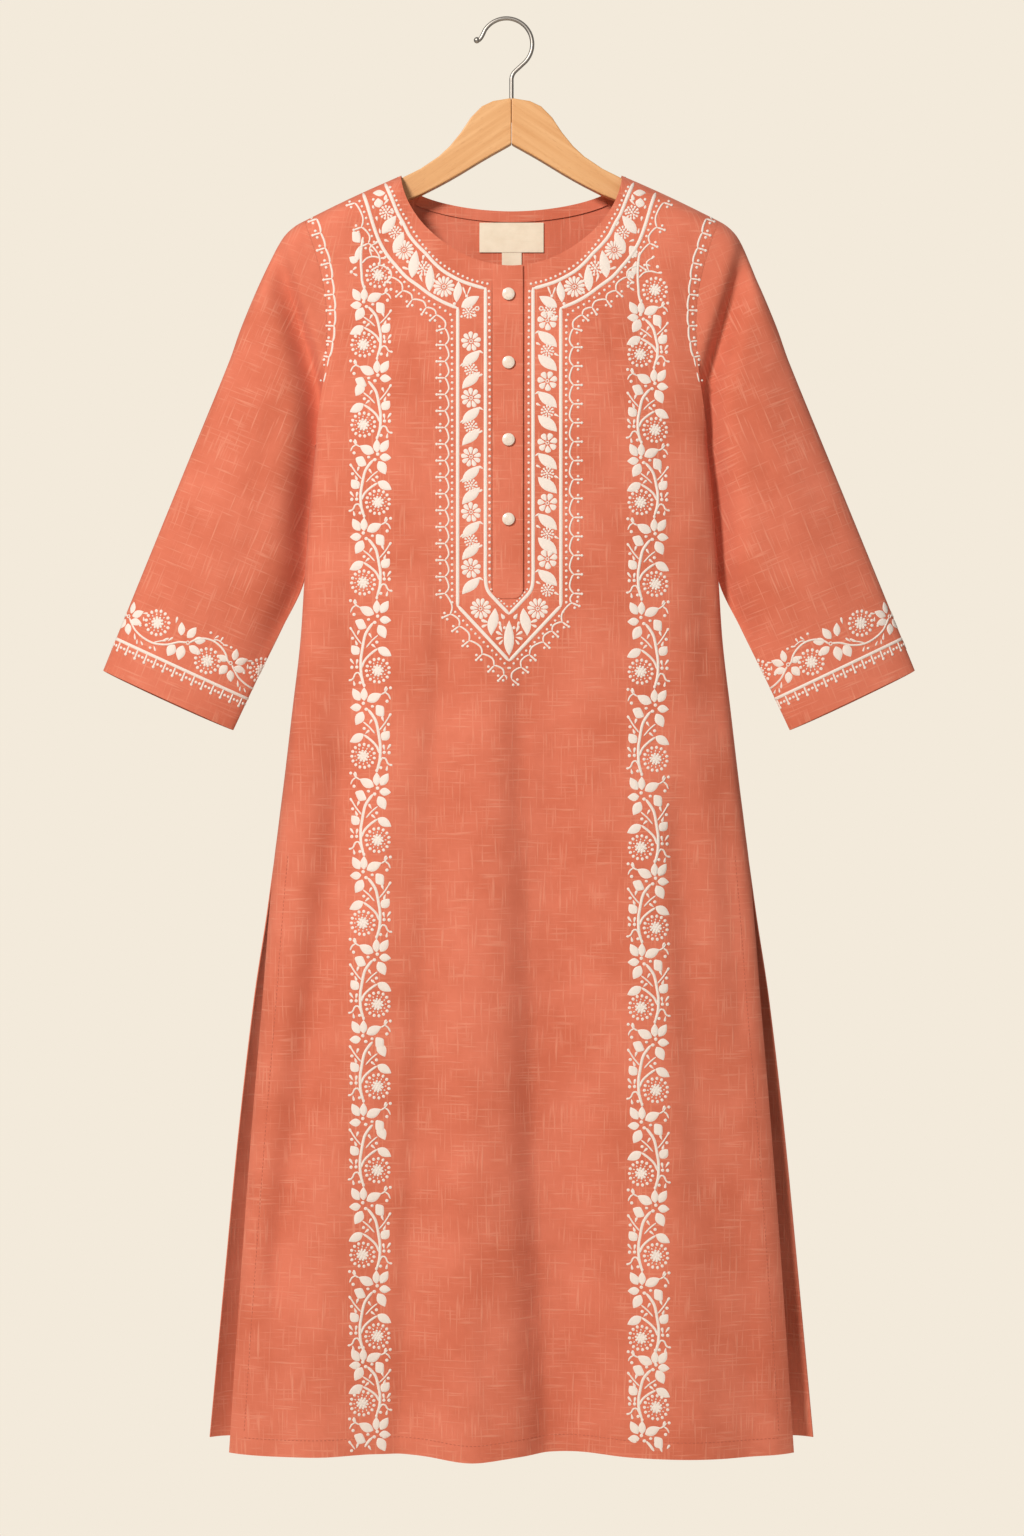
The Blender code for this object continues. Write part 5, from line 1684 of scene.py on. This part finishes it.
def drawn_steel(name):
    """Drawn and nickel plated steel wire: softly bright, with faint wear in its polish."""
    made, tree, shader = new_material(name, {"Metallic": 1.0, "Base Color": linear("A8A6A3")})
    place = add_node(tree, "ShaderNodeTexCoord", {}, {}, "Object")
    rough = add_range(tree, add_noise(tree, place, 120.0, 2.0), 0.3, 0.7, 0.46, 0.38)
    tree.links.new(rough, shader.inputs["Roughness"])
    return made


CLOTH_BASE = "D97B63"
CLOTH_LIGHT = "EDAA92"
CLOTH_DARK = "CB6C53"
EMBROIDERY_CREAM = "EFE8E4"
EMBROIDERY_SHADE = "D9CDC4"
SEWING_THREAD = "C0674F"
SEWING_SHADE = "A9533E"


def dress(item, made, slot, *nodes):
    """Gives a new piece its material, its body and the nodes it stands for, which it hides; the slot is not
    used.
    """
    item.data.materials.clear()
    item.data.materials.append(made)
    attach(item, BODY_NAME)
    if nodes:
        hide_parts(*nodes)
    return item


def dress_node(name, made):
    node = bpy.data.objects[name]
    node.data.materials.clear()
    node.data.materials.append(made)


TEMPLATES = make_templates()

linen = slub_linen("slub_linen", CLOTH_BASE, CLOTH_LIGHT, CLOTH_DARK)
satin = satin_thread("satin_thread", EMBROIDERY_CREAM, EMBROIDERY_SHADE)
sewing = plain_thread("sewing_thread", SEWING_THREAD, SEWING_SHADE)
tape = cotton_tape("ecru_tape", "EDE4D2", "DFD3BE")
shell = pearl_shell("pearl_shell", "EEE4DB", "D8CABD")

front = dress(make_front(), linen, "front_cloth", "front_panel")
back = dress(make_back(), linen, "back_cloth", "back_panel")
sleeve_left = dress(make_sleeve("left_sleeve_cloth", -1.0), linen, "left_sleeve_cloth", "sleeve_left")
sleeve_right = dress(make_sleeve("right_sleeve_cloth", 1.0), linen, "right_sleeve_cloth", "sleeve_right")
overlap = dress(
    make_strip(
        "overlap_strip", OVERLAP_LEFT, OVERLAP_RIGHT, PLACKET_END - OVERLAP_BELOW,
        PLACKET_CORNER, OVERLAP_OUT, OVERLAP_EDGE_DROP,
    ),
    linen, "placket_cloth", "placket_overlap",
)
underlap = dress(
    make_strip(
        "underlap_strip", UNDERLAP_LEFT, UNDERLAP_RIGHT, PLACKET_END - UNDERLAP_BELOW,
        UNDERLAP_CORNER, UNDERLAP_OUT, UNDERLAP_EDGE_DROP,
    ),
    linen, "placket_cloth", "placket_underlap",
)
for number, level in enumerate(BUTTON_LEVELS, 1):
    dress(make_button(number, level), shell, "pearl", "button_%d" % number)
facing = dress(make_facing(), linen, "facing_cloth", "back_neck_facing")
label_top = NECK_TOP - BACK_NECK_DEPTH - FACING_WIDTH - LINING_GAP
label = dress(make_patch("bare_label", 0.0, label_top, LABEL_SIZE), tape, "label_tape", "label_patch")
tab_top = label_top - LABEL_SIZE[1] - TAB_GAP
tab = dress(make_patch("bare_tab", TAB_SHIFT, tab_top, TAB_SIZE), tape, "label_tape", "size_tab")
hook = dress(make_hook(), drawn_steel("drawn_steel"), "steel", "hanger_hook")
dress_node("hanger_arm_left", lacquered_beech("beech_left", 34.0))
dress_node("hanger_arm_right", lacquered_beech("beech_right", -34.0))

vine_left = dress(
    make_embroidery("vine_left", vine_work(LEFT_VINE), front_surface), satin, "front_cloth"
)
vine_right = dress(
    make_embroidery("vine_right", vine_work(RIGHT_VINE), front_surface), satin, "front_cloth"
)
yoke = dress(make_embroidery("yoke", yoke_work(), front_surface), satin, "front_cloth")
armholes = dress(make_embroidery("armhole_lines", armhole_work(), front_surface), satin, "front_cloth")
left_cuff_surface = CuffSurface(0.0)
right_cuff_surface = CuffSurface(RIGHT_SLEEVE_NEARER)
cuff_left = dress(
    make_embroidery("cuff_left", cuff_work(left_cuff_surface.round), left_cuff_surface, -1.0),
    satin, "left_sleeve_cloth",
)
cuff_right = dress(
    make_embroidery("cuff_right", cuff_work(right_cuff_surface.round), right_cuff_surface),
    satin, "right_sleeve_cloth",
)
front_stitches = hem_stitches(BODY["front_half"], FRONT_HEM, FRONT_HEM_WAVE, 237.0, -1262.0, 13.0)
back_stitches = hem_stitches(BODY["back_half"], BACK_HEM, BACK_HEM_WAVE, 257.0, -1256.0, 15.0, -1.0)
front_hems = make_embroidery("front_hem_stitches", front_stitches, front_surface)
dress(front_hems, sewing, "front_cloth")
back_hems = make_embroidery("back_hem_stitches", back_stitches, back_surface)
dress(back_hems, sewing, "back_cloth")


# Camera, light and floor

def aim(item, target):
    """Turns a light or camera to look at a place."""
    ahead = [t - p for t, p in zip(target, item.location)]
    flat = math.hypot(ahead[0], ahead[1])
    item.rotation_euler = (math.pi / 2 + math.atan2(ahead[2], flat), 0.0, math.atan2(-ahead[0], ahead[1]))


def add_area_light(name, place, target, size, power, colour, mirrored=True):
    light = bpy.data.lights.new(name, "AREA")
    light.shape = "DISK"
    light.size = size
    light.energy = power
    light.color = linear(colour)[:3]
    item = bpy.data.objects.new(name, light)
    bpy.context.scene.collection.objects.link(item)
    item.location = place
    item.visible_glossy = mirrored
    aim(item, target)


camera_data = bpy.data.cameras.new("camera")
camera_data.lens = 83.33
camera_data.sensor_width = 36.0
camera = bpy.data.objects.new("camera", camera_data)
bpy.context.scene.collection.objects.link(camera)
camera.location = (0.00045, -3.2, -0.6723)
camera.rotation_euler = (math.pi / 2, 0.0, 0.0)
bpy.context.scene.camera = camera

add_area_light("key_light", (-1.62, -2.92, 1.25), (0.0, 0.0, -0.6), 0.8, 131.0, "FFF5E9")
add_area_light("fill_light", (0.9, -3.4, -0.6), (0.0, 0.0, -0.7), 2.4, 11.0, "FFF6EC")
add_area_light("back_light", (1.2, 2.8, 0.9), (0.0, 0.0, -0.6), 1.8, 70.0, "FFF3E4", False)

world = bpy.data.worlds.new("cream_room")
bpy.context.scene.world = world
world.use_nodes = True
room = world.node_tree
room.nodes.clear()
seen = add_node(room, "ShaderNodeBackground", {}, {"Color": linear("F3EADB"), "Strength": 1.0})
ambient = add_node(room, "ShaderNodeBackground", {}, {"Color": linear("FFF4E8"), "Strength": 0.25})
direct = add_node(room, "ShaderNodeLightPath", {}, {}, "Is Camera Ray")
choice = add_node(room, "ShaderNodeMixShader", {}, {0: direct, 1: ambient, 2: seen})
world_output = room.nodes.new("ShaderNodeOutputWorld")
room.links.new(choice, world_output.inputs["Surface"])

deselect()
bpy.ops.mesh.primitive_cylinder_add(vertices=96, radius=2.2, depth=0.02, location=(0.0, 0.0, -1.91))
floor = bpy.context.object
floor.name = "pale_floor"
bpy.ops.object.transform_apply(location=True, rotation=True, scale=True)
floor_paint = new_material("pale_floor", {"Roughness": 0.8, "Base Color": linear("E9E0D2")})[0]
floor.data.materials.append(floor_paint)

bpy.context.scene.view_settings.view_transform = "Standard"
